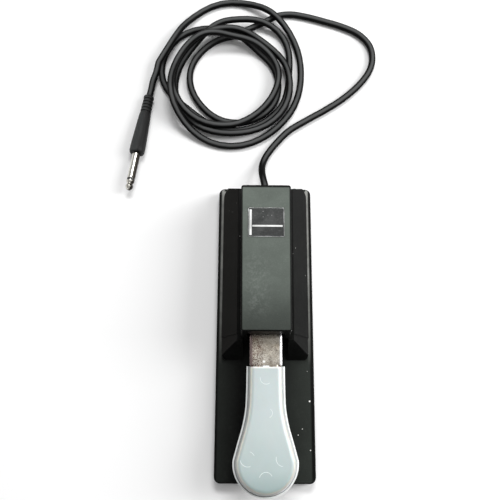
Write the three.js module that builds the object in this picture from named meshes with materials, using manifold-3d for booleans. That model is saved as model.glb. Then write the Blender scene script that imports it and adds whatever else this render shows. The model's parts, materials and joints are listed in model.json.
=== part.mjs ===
// Sustain pedal for a keyboard: a weighted base with a rubber mat, a moulded housing with a raised
// block, a metal lever with a plastic cover that rocks on an axle against a spring, a microswitch and
// a polarity switch inside, and a lead that ends in a 6.35 mm jack plug.
// Millimetres. +X is to the right, +Y to the back where the lead leaves, +Z up.
// The origin is on the floor, under the centre of the base.
import * as THREE from "three";
import { mergeVertices } from "three/addons/utils/BufferGeometryUtils.js";
import Module from "manifold-3d";

const wasm = await Module();
wasm.setup();

// ---------------------------------------------------------------- driving dimensions
const gap = 0.3;                    // left between two pieces that touch
const holeSides = 8;                // sides of a small screw hole
const base = { width: 72, length: 222, corner: 4.5, top: 10, skin: 3, wall: 2.6, edge: 1 };
const mat = { thickness: 2, grooveDepth: 0.8, grooveWidth: 2, groovePitch: 16, grooveCount: 6 };
const ballast = { width: 40, length: 200, bottom: 3.3, top: 6.5, screwY: 70 };
const floorTop = base.top + gap;    // where everything that stands on the base starts

const body = { half: 32, front: -9, back: 108.5, skirtTop: 17, ridgeHalf: 20.5, ridgeBack: 102, ridgeTop: 33,
  cornerX: 9, cornerY: 8, wall: 2.2 };
const hood = { radius: 7, wall: 1.4, z: 13.8, front: 94 };
const block = { half: 18.25, frontHalf: 17.45, front: -11.6, back: 98.4, topFront: 58, topBack: 50,
  edge: 1.2, corner: 2, ceiling: 2.4 };
const nose = { half: 31.4, front: -24.5, ridgeY: -13, shoulderY: -21.5, corner: 3 };
const mouth = { slotHalf: 16.3, half: 13.2, bottom: 25, top: 47.5 };
const badge = { width: 26, length: 22.6, centreY: 68.5, thickness: 0.8, proud: 0.3 };
const blockSlope = (block.topBack - block.topFront) / (block.back - block.front);

const pivot = { y: 42, z: 34 };
const lever = { top: 44, bottom: 34, plate: 3, wall: 2.6, neckHalf: 11.2, shankHalf: 10, lug: 8,
  tailHalf: 8, tailTop: 36.5, tailEnd: 91 };
const spoon = { backY: -34, discY: -97.5, discRadius: 22.5, drop: 3, edge: 2.2 };
const cover = { wall: 1.3, clear: 0.3, bottom: 32.5, skirtBack: 2, tabHalf: 2.2, tabLength: 0.9 };
const axle = { radius: 2.5, half: 14.9 };
const bush = { outer: 3.7, inner: 2.8, flange: 5.5 };
const ear = { inner: 11.4, outer: 13.2, radius: 6, footHalf: 22, footLength: 22, foot: 1.8 };
const spring = { y: 16, radius: 5.2, wire: 1.6, turns: 6.5, bottom: 13.3, top: 40.7 };
const frontStop = { y: -2, radius: 4.8, postTop: 31, top: 35.8 };
const rearStop = { y: 87, radius: 4.2, postTop: 27, top: 33.2 };

const microswitch = { front: 60.5, back: 80.5, half: 3.2, bottom: 16.8, top: 27, buttonY: 68.5,
  hingeY: 62, hingeZ: 27.8, terminals: [64, 71, 78], screwsY: [65.75, 75.25], screwZ: 20 };
const striker = { y: 78, half: 2.2, bottom: 29.3 };
const polarity = { x: 17, z: 13.9, travel: 4, screwSpread: 6 };

const cord = { radius: 2.75, exitY: 108.8, exitZ: 14.6, grommet: 4, flange: 4.3 };
const clamp = { y: 100, half: 3, reach: 10.4, screwX: 7.8 };
const coil = { x: -28.3, y: 218.9, inner: 34, outer: 62.5, stretch: 1.16, top: 13 };
const plug = { x: -96.6, y: 195.6, z: 4.7, heading: 172, tilt: 2 };

// The lead's free run, from the grommet along the floor to the coil, and the coil's end to the plug.
const leadRoute = [
  [0, 110.9, 14.6], [0, 113.4, 14.4], [-0.8, 119.8, 12.3], [-2.3, 128.1, 7.9], [-1.4, 136.1, 4.2],
  [2.8, 144.1, 3], [9.5, 155.1, 2.8], [20, 166.8, 2.8], [34.8, 177.3, 2.8], [49.9, 186.4, 2.8],
  [64.8, 196.5, 2.8], [78.4, 209.2, 2.8], [87.5, 222.1, 2.8], [90.8, 234.7, 2.8], [88.5, 247.6, 2.8],
  [79.9, 258.6, 2.8], [66.9, 266.3, 2.8], [51.9, 271.4, 2.8], [36.3, 275.8, 2.8], [22.3, 277.8, 2.8],
  [13.9, 276.8, 2.8]];
const tailRoute = [[-94.1, 209, 4.8], [-95.2, 202.5, 4.7], [-96.4, 196.4, 4.6]];

// ---------------------------------------------------------------- materials
const finish = (color, roughness, metalness) =>
  new THREE.MeshStandardMaterial({ color, roughness, metalness });
const blackPlastic = finish(0x2a2b2a, 0.5, 0);
const blackRubber = finish(0x161616, 0.85, 0);
const cordRubber = finish(0x232425, 0.6, 0);
const steel = finish(0xa9abad, 0.35, 1);
const darkSteel = finish(0x57595b, 0.45, 1);
const leverNickel = finish(0xb3a893, 0.35, 1);
const coverPlastic = finish(0xcbd9da, 0.35, 0);
const badgePlate = finish(0x2b3130, 0.2, 0.4);
const brass = finish(0xc29a55, 0.3, 1);
const nylon = finish(0xe6e2d6, 0.5, 0);
const switchPlastic = finish(0x3a2a24, 0.5, 0);
const redPlastic = finish(0x9d2a22, 0.4, 0);
const insulator = finish(0x1b1b1b, 0.4, 0);

// ---------------------------------------------------------------- solids
function solidOf(geometry) {
  const bare = geometry.clone();
  bare.deleteAttribute("normal");
  bare.deleteAttribute("uv");
  const merged = mergeVertices(bare, 1e-4);
  const index = merged.index.array;
  const kept = [];
  for (let i = 0; i < index.length; i += 3) {
    const [a, b, c] = [index[i], index[i + 1], index[i + 2]];
    if (a !== b && b !== c && c !== a) kept.push(a, b, c);
  }
  const vertProperties = Float32Array.from(merged.attributes.position.array);
  const triVerts = Uint32Array.from(kept);
  return new wasm.Manifold(new wasm.Mesh({ numProp: 3, vertProperties, triVerts }));
}

function geometryOf(solid) {
  const mesh = solid.getMesh();
  const geometry = new THREE.BufferGeometry();
  geometry.setAttribute("position", new THREE.BufferAttribute(mesh.vertProperties, 3));
  geometry.setIndex(new THREE.BufferAttribute(mesh.triVerts, 1));
  return geometry;
}

function combine(method, first, rest) {
  return geometryOf(rest.reduce((solid, next) => solid[method](solidOf(next)), solidOf(first)));
}
const join = (first, ...rest) => combine("add", first, rest);
const cut = (first, ...rest) => combine("subtract", first, rest);
const keep = (first, ...rest) => combine("intersect", first, rest);

// ---------------------------------------------------------------- shapes
function outline(points) {
  return new THREE.Shape(points.map(([x, y]) => new THREE.Vector2(x, y)));
}

function extrude(shape, depth, curveSegments = 4) {
  return new THREE.ExtrudeGeometry(shape, { depth, bevelEnabled: false, curveSegments });
}

function slab(shape, low, high, curveSegments) {
  return extrude(shape, high - low, curveSegments).translate(0, 0, low);
}

// A slab whose top and bottom edges are rounded; the shape is already drawn in by the edge radius.
function softSlab(shape, low, high, edge, curveSegments = 3) {
  const depth = high - low - 2 * edge;
  const options = { depth, bevelSize: edge, bevelThickness: edge, bevelSegments: 2, curveSegments };
  return new THREE.ExtrudeGeometry(shape, options).translate(0, 0, low + edge);
}

const axisX = new THREE.Vector3(1, 0, 0);
const axisY = new THREE.Vector3(0, 1, 0);
const axisZ = new THREE.Vector3(0, 0, 1);

// A shape drawn in (y, z), drawn out along X.
function alongX(shape, low, high, curveSegments) {
  const turn = new THREE.Matrix4().makeBasis(axisY, axisZ, axisX);
  return extrude(shape, high - low, curveSegments).applyMatrix4(turn).translate(low, 0, 0);
}

// A shape drawn in (x, z), drawn out along Y.
function alongY(shape, low, high, curveSegments) {
  const turn = new THREE.Matrix4().makeBasis(axisX, axisZ, axisY.clone().negate());
  return extrude(shape, high - low, curveSegments).applyMatrix4(turn).translate(0, high, 0);
}

function box([x0, x1], [y0, y1], [z0, z1]) {
  return new THREE.BoxGeometry(x1 - x0, y1 - y0, z1 - z0)
    .translate((x0 + x1) / 2, (y0 + y1) / 2, (z0 + z1) / 2);
}

function pinZ(x, y, radius, low, high, sides = 16) {
  return new THREE.CylinderGeometry(radius, radius, high - low, sides)
    .rotateX(Math.PI / 2).translate(x, y, (low + high) / 2);
}

function pinX(y, z, radius, low, high, sides = 16) {
  return new THREE.CylinderGeometry(radius, radius, high - low, sides)
    .rotateZ(Math.PI / 2).translate((low + high) / 2, y, z);
}

function pinY(x, z, radius, low, high, sides = 16) {
  return new THREE.CylinderGeometry(radius, radius, high - low, sides).translate(x, (low + high) / 2, z);
}

function roundedRect(halfX, halfY, radius, centreY = 0) {
  const shape = new THREE.Shape();
  const [x, y] = [halfX - radius, halfY - radius];
  shape.absarc(x, centreY + y, radius, 0, Math.PI / 2);
  shape.absarc(-x, centreY + y, radius, Math.PI / 2, Math.PI);
  shape.absarc(-x, centreY - y, radius, Math.PI, 1.5 * Math.PI);
  shape.absarc(x, centreY - y, radius, 1.5 * Math.PI, 2 * Math.PI);
  return shape;
}

// A solid turned about its own Y axis; the profile runs from the axis back to the axis.
function turned(points, segments = 16) {
  const profile = points.map(([r, y]) => new THREE.Vector2(r, y));
  return geometryOf(solidOf(new THREE.LatheGeometry(profile, segments)));
}

function tube(points, radius, sides, steps) {
  const path = new THREE.CatmullRomCurve3(points.map((p) => new THREE.Vector3(...p)), false, "centripetal");
  return tubeOn(path, radius, sides, steps);
}

function tubeOn(path, radius, sides, steps) {
  const section = [];
  for (let i = 0; i < sides; i += 1) {
    const angle = (2 * Math.PI * i) / sides;
    section.push([radius * Math.cos(angle), radius * Math.sin(angle)]);
  }
  const options = { steps, bevelEnabled: false, extrudePath: path };
  return geometryOf(solidOf(new THREE.ExtrudeGeometry(outline(section), options)));
}

// Leans a solid so that it follows the block's top, which falls towards the back.
function leanWithBlock(geometry) {
  const shear = new THREE.Matrix4().set(
    1, 0, 0, 0,
    0, 1, 0, 0,
    0, blockSlope, 1, -blockSlope * block.front,
    0, 0, 0, 1);
  return geometry.applyMatrix4(shear);
}

// ---------------------------------------------------------------- base, mat and ballast
const mirrored = (x) => [-x, x];
const spanOn = (side, near, far) => (side > 0 ? [near, far] : [-far, -near]);
const corners = (x, ys) => ys.flatMap((y) => mirrored(x).map((side) => [side, y]));
const baseScrews = corners(25.5, [8, 92]);
const bracketScrews = corners(18, [pivot.y - 7, pivot.y + 7]);
const ballastScrews = [[0, -ballast.screwY], [0, ballast.screwY]];

function rubberMat() {
  const sheet = slab(roundedRect(base.width / 2, base.length / 2, base.corner), 0, mat.thickness);
  const grooves = [];
  for (let i = 0; i < mat.grooveCount; i += 1) {
    const y = (i + 0.5) * mat.groovePitch + 2;
    for (const side of mirrored(y)) {
      const across = [side - mat.grooveWidth / 2, side + mat.grooveWidth / 2];
      grooves.push(box([-30, 30], across, [-1, mat.grooveDepth]));
    }
  }
  const screwHoles = baseScrews.map(([x, y]) => pinZ(x, y, 4.2, -1, mat.thickness + 1));
  return cut(sheet, ...grooves, ...screwHoles);
}

function basePlate() {
  const [halfX, halfY] = [base.width / 2, base.length / 2];
  const inner = halfX - base.wall;
  const shell = softSlab(roundedRect(halfX - base.edge, halfY - base.edge, base.corner - base.edge),
    mat.thickness + gap, base.top, base.edge);
  const hollow = slab(roundedRect(inner, halfY - base.wall, 2), 0, base.top - base.skin);
  const pillars = baseScrews.map(([x, y]) => pinZ(x, y, 4.5, 4.9, base.top - 1));
  const posts = [
    pinZ(0, frontStop.y, frontStop.radius - 0.8, base.top - 1, frontStop.postTop),
    pinZ(0, rearStop.y, rearStop.radius - 0.8, base.top - 1, rearStop.postTop),
    box([-5.7, -3.7], [60, 81], [base.top - 1, microswitch.top]),
    box([-8, -5.5], [62, 64], [base.top - 1, 22]),
    box([-8, -5.5], [77, 79], [base.top - 1, 22]),
  ];
  const screwHoles = baseScrews.map(([x, y]) => pinZ(x, y, 1.6, 0, base.top + 1, holeSides));
  const bracketHoles = bracketScrews.map(([x, y]) => pinZ(x, y, 1.6, 0, base.top + 1, holeSides));
  const ballastHoles = ballastScrews.map(([x, y]) => pinZ(x, y, 1.6, 0, 9.3, holeSides));
  const clampHoles = mirrored(clamp.screwX)
    .map((x) => pinZ(x, clamp.y, 1.6, 0, base.top + 1, holeSides));
  const switchHoles = microswitch.screwsY.map((y) => pinX(y, microswitch.screwZ, 1.4, -9, 0, holeSides));
  return cut(join(cut(shell, hollow), ...pillars, ...posts),
    ...screwHoles, ...bracketHoles, ...ballastHoles, ...clampHoles, ...switchHoles);
}

function ballastPlate() {
  const plate = slab(roundedRect(ballast.width / 2, ballast.length / 2, 5), ballast.bottom, ballast.top);
  const holes = ballastScrews.flatMap(([x, y]) => [
    pinZ(x, y, 1.6, 0, base.top, holeSides), pinZ(x, y, 3.1, 0, ballast.bottom + 1.8, 16)]);
  const clearances = bracketScrews.map(([x, y]) => pinZ(x, y, 3, 0, base.top, holeSides));
  return cut(plate, ...holes, ...clearances);
}

// ---------------------------------------------------------------- housing
function bodySection(inset) {
  const half = body.half - inset;
  const skirt = body.skirtTop - 0.35 * inset;
  const ridge = body.ridgeHalf - 0.45 * inset;
  const top = body.ridgeTop - inset;
  const low = inset >= body.wall ? 0 : floorTop;
  return outline([[-half, low], [half, low], [half, skirt], [ridge, top], [-ridge, top], [-half, skirt]]);
}

function bodyPlan(inset) {
  const half = body.half - inset;
  const back = body.back - inset;
  const shape = new THREE.Shape();
  shape.moveTo(-half, body.front);
  shape.lineTo(half, body.front);
  shape.absellipse(half - body.cornerX, back - body.cornerY, body.cornerX, body.cornerY, 0, Math.PI / 2);
  shape.absellipse(body.cornerX - half, back - body.cornerY, body.cornerX, body.cornerY,
    Math.PI / 2, Math.PI);
  return shape;
}

// The sides and the back lean in above the skirt, up to the flat ridge that the block stands on.
function lowerBody(inset, front) {
  const low = inset >= body.wall ? 0 : floorTop;
  const [back, skirt, top] = [body.back - inset, body.skirtTop - 0.35 * inset, body.ridgeTop - inset];
  const profile = outline([[front, low], [back, low], [back, skirt], [body.ridgeBack - 0.45 * inset, top],
    [front, top]]);
  return keep(alongY(bodySection(inset), front, body.back), slab(bodyPlan(inset), 0, body.ridgeTop + 1),
    alongX(profile, -body.half, body.half));
}

// The round-topped hood over the lead's exit.
function hoodSolid(inset) {
  const radius = hood.radius - inset;
  const shape = new THREE.Shape();
  shape.moveTo(-radius, inset ? 0 : floorTop);
  shape.lineTo(radius, inset ? 0 : floorTop);
  shape.absarc(0, hood.z, radius, 0, Math.PI);
  return alongY(shape, hood.front, body.back - (inset ? body.wall : 0), 8);
}

// The block is a little narrower at its front than at its back.
function narrowToFront(geometry) {
  const place = geometry.attributes.position;
  for (let i = 0; i < place.count; i += 1) {
    const share = (block.back - place.getY(i)) / (block.back - block.front);
    place.setX(i, place.getX(i) * (1 - share * (1 - block.frontHalf / block.half)));
  }
  return geometry;
}

function blockSolid(inset) {
  const half = block.half - inset;
  const edge = block.edge * (inset ? 0.4 : 1);
  const top = block.topFront - (inset ? block.ceiling : 0);
  const low = floorTop + 9;
  const section = outline([[-half, low], [half, low], [half, top - edge], [half - edge, top],
    [edge - half, top], [-half, top - edge]]);
  const [front, back] = [block.front + inset, block.back - inset];
  const middle = (front + back) / 2;
  const plan = slab(roundedRect(half, (back - front) / 2, block.corner, middle), 0, 70);
  return narrowToFront(keep(leanWithBlock(alongY(section, front, back)), plan));
}

// The two cheeks beside the lever are one hipped nose with a slot cut through it.
function noseSolid(inset) {
  const half = nose.half - inset;
  const front = nose.front + inset;
  const low = inset ? 0 : floorTop;
  const profile = outline([[front, low], [0, low], [0, body.ridgeTop - inset],
    [nose.ridgeY + 0.6 * inset, body.ridgeTop - inset], [nose.shoulderY + inset, body.skirtTop]]);
  const plan = slab(roundedRect(half, 20, nose.corner, front + 20), 0, 40, 3);
  return keep(alongX(profile, -half, half), alongY(bodySection(body.half - nose.half + inset), -30, 5), plan);
}

function housingShell() {
  const centreWall = box([-18.5, 18.5], [block.front, body.front + 1], [floorTop, body.ridgeTop]);
  const slot = box([-mouth.slotHalf, mouth.slotHalf], [-40, block.front], [0, 70]);
  const outer = cut(
    join(lowerBody(0, body.front), blockSolid(0), noseSolid(0), hoodSolid(0), centreWall), slot);

  const wall = body.wall;
  const cheekRoom = mirrored(1).map((side) =>
    keep(noseSolid(wall), box(spanOn(side, 18.5, 30), [-30, 5], [0, 40])));
  const room = join(
    lowerBody(wall, body.front - 0.4), blockSolid(wall), hoodSolid(hood.wall), ...cheekRoom);
  const shell = cut(outer, room);

  const bosses = baseScrews.map(([x, y]) => pinZ(x, y, 3.6, floorTop, 20.5));
  const holes = [
    ...baseScrews.map(([x, y]) => pinZ(x, y, 1.6, 0, 19, holeSides)),
    box([-mouth.half, mouth.half], [block.front - 2, body.front + 1], [mouth.bottom, mouth.top]),
    pinY(0, cord.exitZ, cord.grommet + 0.05, 104, 112),
    box([-cord.grommet - 0.05, cord.grommet + 0.05], [104, 112], [0, cord.exitZ]),
    box([polarity.x - 4.6, polarity.x + 4.6], [104, 112], [polarity.z - 2, polarity.z + 2]),
    ...mirrored(polarity.screwSpread).map((x) => pinY(polarity.x + x, polarity.z, 1.1, 104, 112, holeSides)),
    badgePocket(),
  ];
  return cut(join(shell, ...bosses), ...holes);
}

function badgeBlank(grow, low, high) {
  const [halfX, halfY] = [badge.width / 2 + grow, badge.length / 2 + grow];
  const shape = roundedRect(halfX, halfY, 1 + grow, badge.centreY);
  return leanWithBlock(slab(shape, block.topFront + low, block.topFront + high, 3));
}
const badgePocket = () => badgeBlank(gap, -badge.thickness, 2);
const badgeSolid = () => geometryOf(solidOf(badgeBlank(0, badge.proud - badge.thickness, badge.proud)));

// ---------------------------------------------------------------- lever and cover
// The flank runs straight along the neck and swells into the round end.
function spoonPlan(inset, backY) {
  const start = 0.09;                       // where the round end takes over, in radians
  const radius = spoon.discRadius - inset;
  const flank = new THREE.SplineCurve([[13.4, backY], [13.6, -50], [14.2, -62], [16.2, -73], [19.3, -84]]
    .map(([x, y]) => new THREE.Vector2(x - inset, y))
    .concat(new THREE.Vector2(radius * Math.cos(start), spoon.discY + radius * Math.sin(start))));
  const end = new THREE.EllipseCurve(0, spoon.discY, radius, radius, start, Math.PI - start, true);
  const right = flank.getPoints(9);
  const left = right.map(({ x, y }) => new THREE.Vector2(-x, y)).reverse();
  return new THREE.Shape([...right, ...end.getPoints(14).slice(1, -1), ...left]);
}

// The spoon falls a little from the neck to its tip.
function leanWithSpoon(geometry) {
  const slope = spoon.drop / (spoon.backY - spoon.discY + spoon.discRadius);
  const shear = new THREE.Matrix4().set(
    1, 0, 0, 0,
    0, 1, 0, 0,
    0, slope, 1, -slope * spoon.backY,
    0, 0, 0, 1);
  return geometry.applyMatrix4(shear);
}

function spoonBlank(inset, backY, low, high, edge) {
  const soft = softSlab(spoonPlan(inset + edge, backY + 2), low - 2 * edge - 1, high, edge);
  return leanWithSpoon(keep(soft, box([-40, 40], [-140, backY], [low, high + 1])));
}

// The cover's sides reach a little further back than its top, which has a small tab in the middle.
function pedalCover() {
  const back = spoon.backY;
  const ceiling = lever.top + gap;
  const top = ceiling + cover.wall;
  const shell = spoonBlank(0, back + cover.skirtBack, cover.bottom, top, spoon.edge);
  const hollow = spoonBlank(cover.wall, back + 3, cover.bottom - 4, ceiling, spoon.edge);
  const behind = outline([[back, top + 1], [back, top], [back + cover.skirtBack, cover.bottom],
    [back + 5, cover.bottom], [back + 5, top + 1]]);
  const tab = box([-cover.tabHalf, cover.tabHalf], [back - 1, back + cover.tabLength],
    [ceiling + 0.3, top - 0.1]);
  return join(cut(shell, hollow, alongX(behind, -20, 20)), tab);
}

function leverSpoon() {
  const inset = cover.wall + cover.clear;
  const solid = spoonBlank(inset, spoon.backY + 2, lever.bottom, lever.top, spoon.edge);
  const hollow = spoonBlank(
    inset + lever.wall, spoon.backY + 1, lever.bottom - 3, lever.top - lever.plate, 1);
  return cut(solid, hollow);
}

function leverPlan(inset, back) {
  const [neck, shank] = [lever.neckHalf - inset, lever.shankHalf - inset];
  const right = [[neck, spoon.backY + 1], [neck, -6], [shank, 1], [shank, back]];
  return outline([...right, ...right.map(([x, y]) => [-x, y]).reverse()]);
}

function pedalLever() {
  const { y, z } = pivot;
  const profile = new THREE.Shape();
  profile.moveTo(spoon.backY + 1, lever.bottom);
  profile.lineTo(y - lever.lug, lever.bottom);
  profile.absarc(y, z, lever.lug, Math.PI, 2 * Math.PI);
  profile.lineTo(y + lever.lug + 3, 39);
  profile.lineTo(58, 41);
  profile.lineTo(66.5, lever.tailTop - lever.plate);
  profile.lineTo(lever.tailEnd, lever.tailTop - lever.plate);
  profile.lineTo(lever.tailEnd, lever.tailTop);
  profile.lineTo(68, lever.tailTop);
  profile.lineTo(59, lever.top);
  profile.lineTo(spoon.backY + 1, lever.top);
  const bar = keep(alongX(profile, -20, 20, 8), slab(leverPlan(0, lever.tailEnd), 10, 60));
  const channel = slab(leverPlan(lever.wall, 57), 10, lever.top - lever.plate);
  const trims = mirrored(1).map((side) => box(spanOn(side, lever.tailHalf, 20), [60, 100], [20, 60]));
  const strikerNub = box([-striker.half, striker.half], [striker.y - 2, striker.y + 2],
    [striker.bottom, lever.tailTop - 1]);
  const bores = [pinX(y, z, 4, -30, 30, 24)];
  return cut(join(cut(bar, channel, ...trims), leverSpoon(), strikerNub), ...bores);
}

// ---------------------------------------------------------------- pivot
function pivotBush() {
  const flangeFrom = lever.shankHalf + gap;
  const flangeTo = ear.inner - gap;
  return turned([[bush.inner, lever.shankHalf - lever.wall], [bush.outer, lever.shankHalf - lever.wall],
    [bush.outer, flangeFrom], [bush.flange, flangeFrom], [bush.flange, flangeTo], [bush.inner, flangeTo],
    [bush.inner, lever.shankHalf - lever.wall]]);
}

function pivotAxle() {
  const groove = [ear.outer + gap, ear.outer + 1.2];
  const side = [[axle.radius - 0.6, groove[0]], [axle.radius - 0.6, groove[1]]];
  const upper = [[axle.radius, groove[0]], ...side, [axle.radius, groove[1]], [axle.radius, axle.half - 0.4],
    [axle.radius - 0.4, axle.half], [0, axle.half]];
  return turned([...upper.map(([r, h]) => [r, -h]).reverse(), ...upper]);
}

function eClip() {
  const blank = new THREE.CylinderGeometry(4.4, 4.4, 0.6, 20);
  const centre = new THREE.CylinderGeometry(axle.radius - 0.3, axle.radius - 0.3, 2, 16);
  const opening = new THREE.BoxGeometry(3.6, 2, 6).translate(0, 0, 3);
  return cut(blank, centre, opening);
}

function pivotBracket() {
  const half = ear.footLength / 2;
  const top = floorTop + ear.foot;
  const foot = box([-ear.footHalf, ear.footHalf], [pivot.y - half, pivot.y + half], [floorTop, top]);
  const profile = new THREE.Shape();
  profile.moveTo(pivot.y - half, floorTop);
  profile.lineTo(pivot.y + half, floorTop);
  profile.lineTo(pivot.y + ear.radius, pivot.z);
  profile.absarc(pivot.y, pivot.z, ear.radius, 0, Math.PI);
  const ears = mirrored(1).map((side) => alongX(profile, ...spanOn(side, ear.inner, ear.outer), 10));
  const bore = pinX(pivot.y, pivot.z, axle.radius + gap, -30, 30, 20);
  const holes = bracketScrews.map(([x, y]) => pinZ(x, y, 1.6, 0, 20, holeSides));
  return cut(join(foot, ...ears), bore, ...holes);
}

// ---------------------------------------------------------------- spring and stops
class SpringWire extends THREE.Curve {
  getPoint(t) {
    const ease = t - (0.55 * Math.sin(2 * Math.PI * t)) / (2 * Math.PI);
    const rise = spring.top - spring.bottom - spring.wire;
    const angle = 2 * Math.PI * spring.turns * t;
    const z = spring.bottom + spring.wire / 2 + rise * ease;
    return new THREE.Vector3(spring.radius * Math.cos(angle), spring.y + spring.radius * Math.sin(angle), z);
  }
}
const springSolid = () => tubeOn(new SpringWire(), spring.wire / 2, 6, 60);

function springSeat() {
  const low = floorTop;
  return turned([[0, low], [8.4, low], [8.4, low + 3.6], [7.2, low + 3.6], [7.2, low + 2.4],
    [3.8, low + 2.4], [3.4, low + 5], [0, low + 5]], 20).rotateX(Math.PI / 2).translate(0, spring.y, 0);
}

function stopPad(stop) {
  const low = stop.postTop + gap;
  return turned([[0, low], [stop.radius, low], [stop.radius, stop.top - 1], [stop.radius - 1, stop.top],
    [0, stop.top]]).rotateX(Math.PI / 2).translate(0, stop.y, 0);
}

// ---------------------------------------------------------------- microswitch
function microswitchBody() {
  const { front, back, half, bottom, top } = microswitch;
  const shell = box([-half, half], [front, back], [bottom, top]);
  const lid = box([-half - 0.2, half + 0.2], [front + 0.6, back - 0.6], [bottom + 1, top - 1.4]);
  const ridge = box([-half, half], [front, front + 3.4], [top - 0.2, top + 0.5]);
  const holes = microswitch.screwsY.map((y) => pinX(y, microswitch.screwZ, 1.4, -9, 9, holeSides));
  const well = pinZ(0, microswitch.buttonY, 1.3, 24.5, 30, 16);
  const feet = microswitch.terminals
    .map((y) => box([-2, 2], [y - 0.7, y + 0.7], [bottom - 0.6, bottom + 0.5]));
  return cut(join(shell, lid, ridge), ...holes, well, ...feet);
}

function microswitchLeaf() {
  const { hingeY, hingeZ } = microswitch;
  const strip = outline([[hingeY - 0.8, hingeZ], [hingeY + 15, hingeZ + 0.45], [hingeY + 18, hingeZ - 0.1],
    [hingeY + 18.4, hingeZ + 0.3], [hingeY + 15.4, hingeZ + 1.05], [hingeY - 0.8, hingeZ + 0.6]]);
  return geometryOf(solidOf(alongX(strip, -2, 2)));
}

const microswitchButton = () => turned([[0, 24.9], [1, 24.9], [1, 27.3], [0.6, 27.5], [0, 27.5]], 16)
  .rotateX(Math.PI / 2).translate(0, microswitch.buttonY, 0);

function terminalBlade(y) {
  const blank = box([-1.6, 1.6], [y - 0.3, y + 0.3], [12.4, microswitch.bottom + 0.2]);
  return cut(blank, pinY(0, 13.6, 0.6, y - 2, y + 2, 10));
}

// ---------------------------------------------------------------- polarity switch
function polarityBody() {
  const { x, z } = polarity;
  const shell = box([x - 6.2, x + 6.2], [97.8, 104.4], [z - 3.4, z + 3.4]);
  const plate = box([x - 7.6, x + 7.6], [104.2, 105.4], [z - 3, z + 3]);
  const well = box([x - 4.6, x + 4.6], [101.3, 107], [z - 2, z + 2]);
  const holes = mirrored(polarity.screwSpread)
    .map((side) => pinY(x + side, z, 1.1, 100, 112, holeSides));
  const reliefs = mirrored(polarity.screwSpread)
    .map((side) => pinY(x + side, z, 1.6, 97, 104, holeSides));
  return cut(join(shell, plate), well, ...holes, ...reliefs);
}

function polaritySlider() {
  const { x, z } = polarity;
  const rest = x - polarity.travel / 2;
  const shoe = box([rest - 2.2, rest + 2.2], [101.7, 105], [z - 1.6, z + 1.6]);
  const thumb = box([rest - 1.3, rest + 1.3], [104.5, 109.7], [z - 1.5, z + 1.5]);
  const ribs = [-0.6, 0.6].map((side) =>
    box([rest + side - 0.2, rest + side + 0.2], [109.3, 110.5], [z - 2, z + 2]));
  return cut(join(shoe, thumb), ...ribs);
}

// ---------------------------------------------------------------- lead, clamp and plug
function grommet() {
  const { grommet: r, flange, exitY } = cord;
  const inside = body.back - body.wall - gap;
  return turned([[0, inside - 2.4], [flange, inside - 2.4], [flange, inside], [r - 0.25, inside],
    [r - 0.25, exitY], [r, exitY], [r, exitY + 1.1], [r - 0.6, exitY + 1.7], [0, exitY + 1.7]])
    .translate(0, 0, cord.exitZ);
}

function cordClamp() {
  const { half, y } = clamp;
  const cordZ = cord.exitZ;
  const [outer, inner] = [5, 3.1];
  const shape = new THREE.Shape();
  shape.moveTo(-clamp.reach, floorTop);
  shape.lineTo(-inner, floorTop);
  shape.lineTo(-inner, cordZ);
  shape.absarc(0, cordZ, inner, Math.PI, 0, true);
  shape.lineTo(inner, floorTop);
  shape.lineTo(clamp.reach, floorTop);
  shape.lineTo(clamp.reach, floorTop + 2);
  shape.lineTo(outer, floorTop + 2);
  shape.lineTo(outer, cordZ);
  shape.absarc(0, cordZ, outer, 0, Math.PI);
  shape.lineTo(-outer, floorTop + 2);
  shape.lineTo(-clamp.reach, floorTop + 2);
  const holes = mirrored(clamp.screwX).map((x) => pinZ(x, y, 1.6, 0, 20, holeSides));
  return cut(alongY(shape, y - half, y + half, 8), ...holes);
}

function coilRing() {
  const { inner, outer, top } = coil;
  const ring = [[inner, 3], [inner + 2.7, 0.3], [outer - 2.7, 0.3], [outer, 3], [outer - 4, top],
    [inner + 4, top], [inner, 3]];
  return turned(ring, 32).rotateX(Math.PI / 2);
}

function plugHandle() {
  const profile = [[0, 0], [3.1, 0]];
  for (let rib = 0; rib < 5; rib += 1) {
    const y = 0.6 + rib * 3.3;
    profile.push([4.2, y], [4.2, y + 1.9], [3.4, y + 2.3], [3.4, y + 3.1]);
  }
  profile.push([4.7, 17.2], [5, 18.4], [5.5, 30], [6.2, 45], [6.2, 50], [5.8, 52.2], [5, 53.6], [0, 53.6]);
  return turned(profile, 14);
}

const plugSleeve = () => turned([[0, 53.9], [3.175, 53.9], [3.175, 76.1], [0, 76.1]]);
const plugInsulator = () => turned([[0, 76.4], [3.05, 76.4], [3.05, 77.5], [0, 77.5]]);
const plugTip = () => turned([[0, 77.8], [3.175, 77.8], [3.175, 79.2], [2.2, 80.8], [3.1, 82.8], [2.7, 84.4],
  [1.2, 86.1], [0, 86.3]]);

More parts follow.
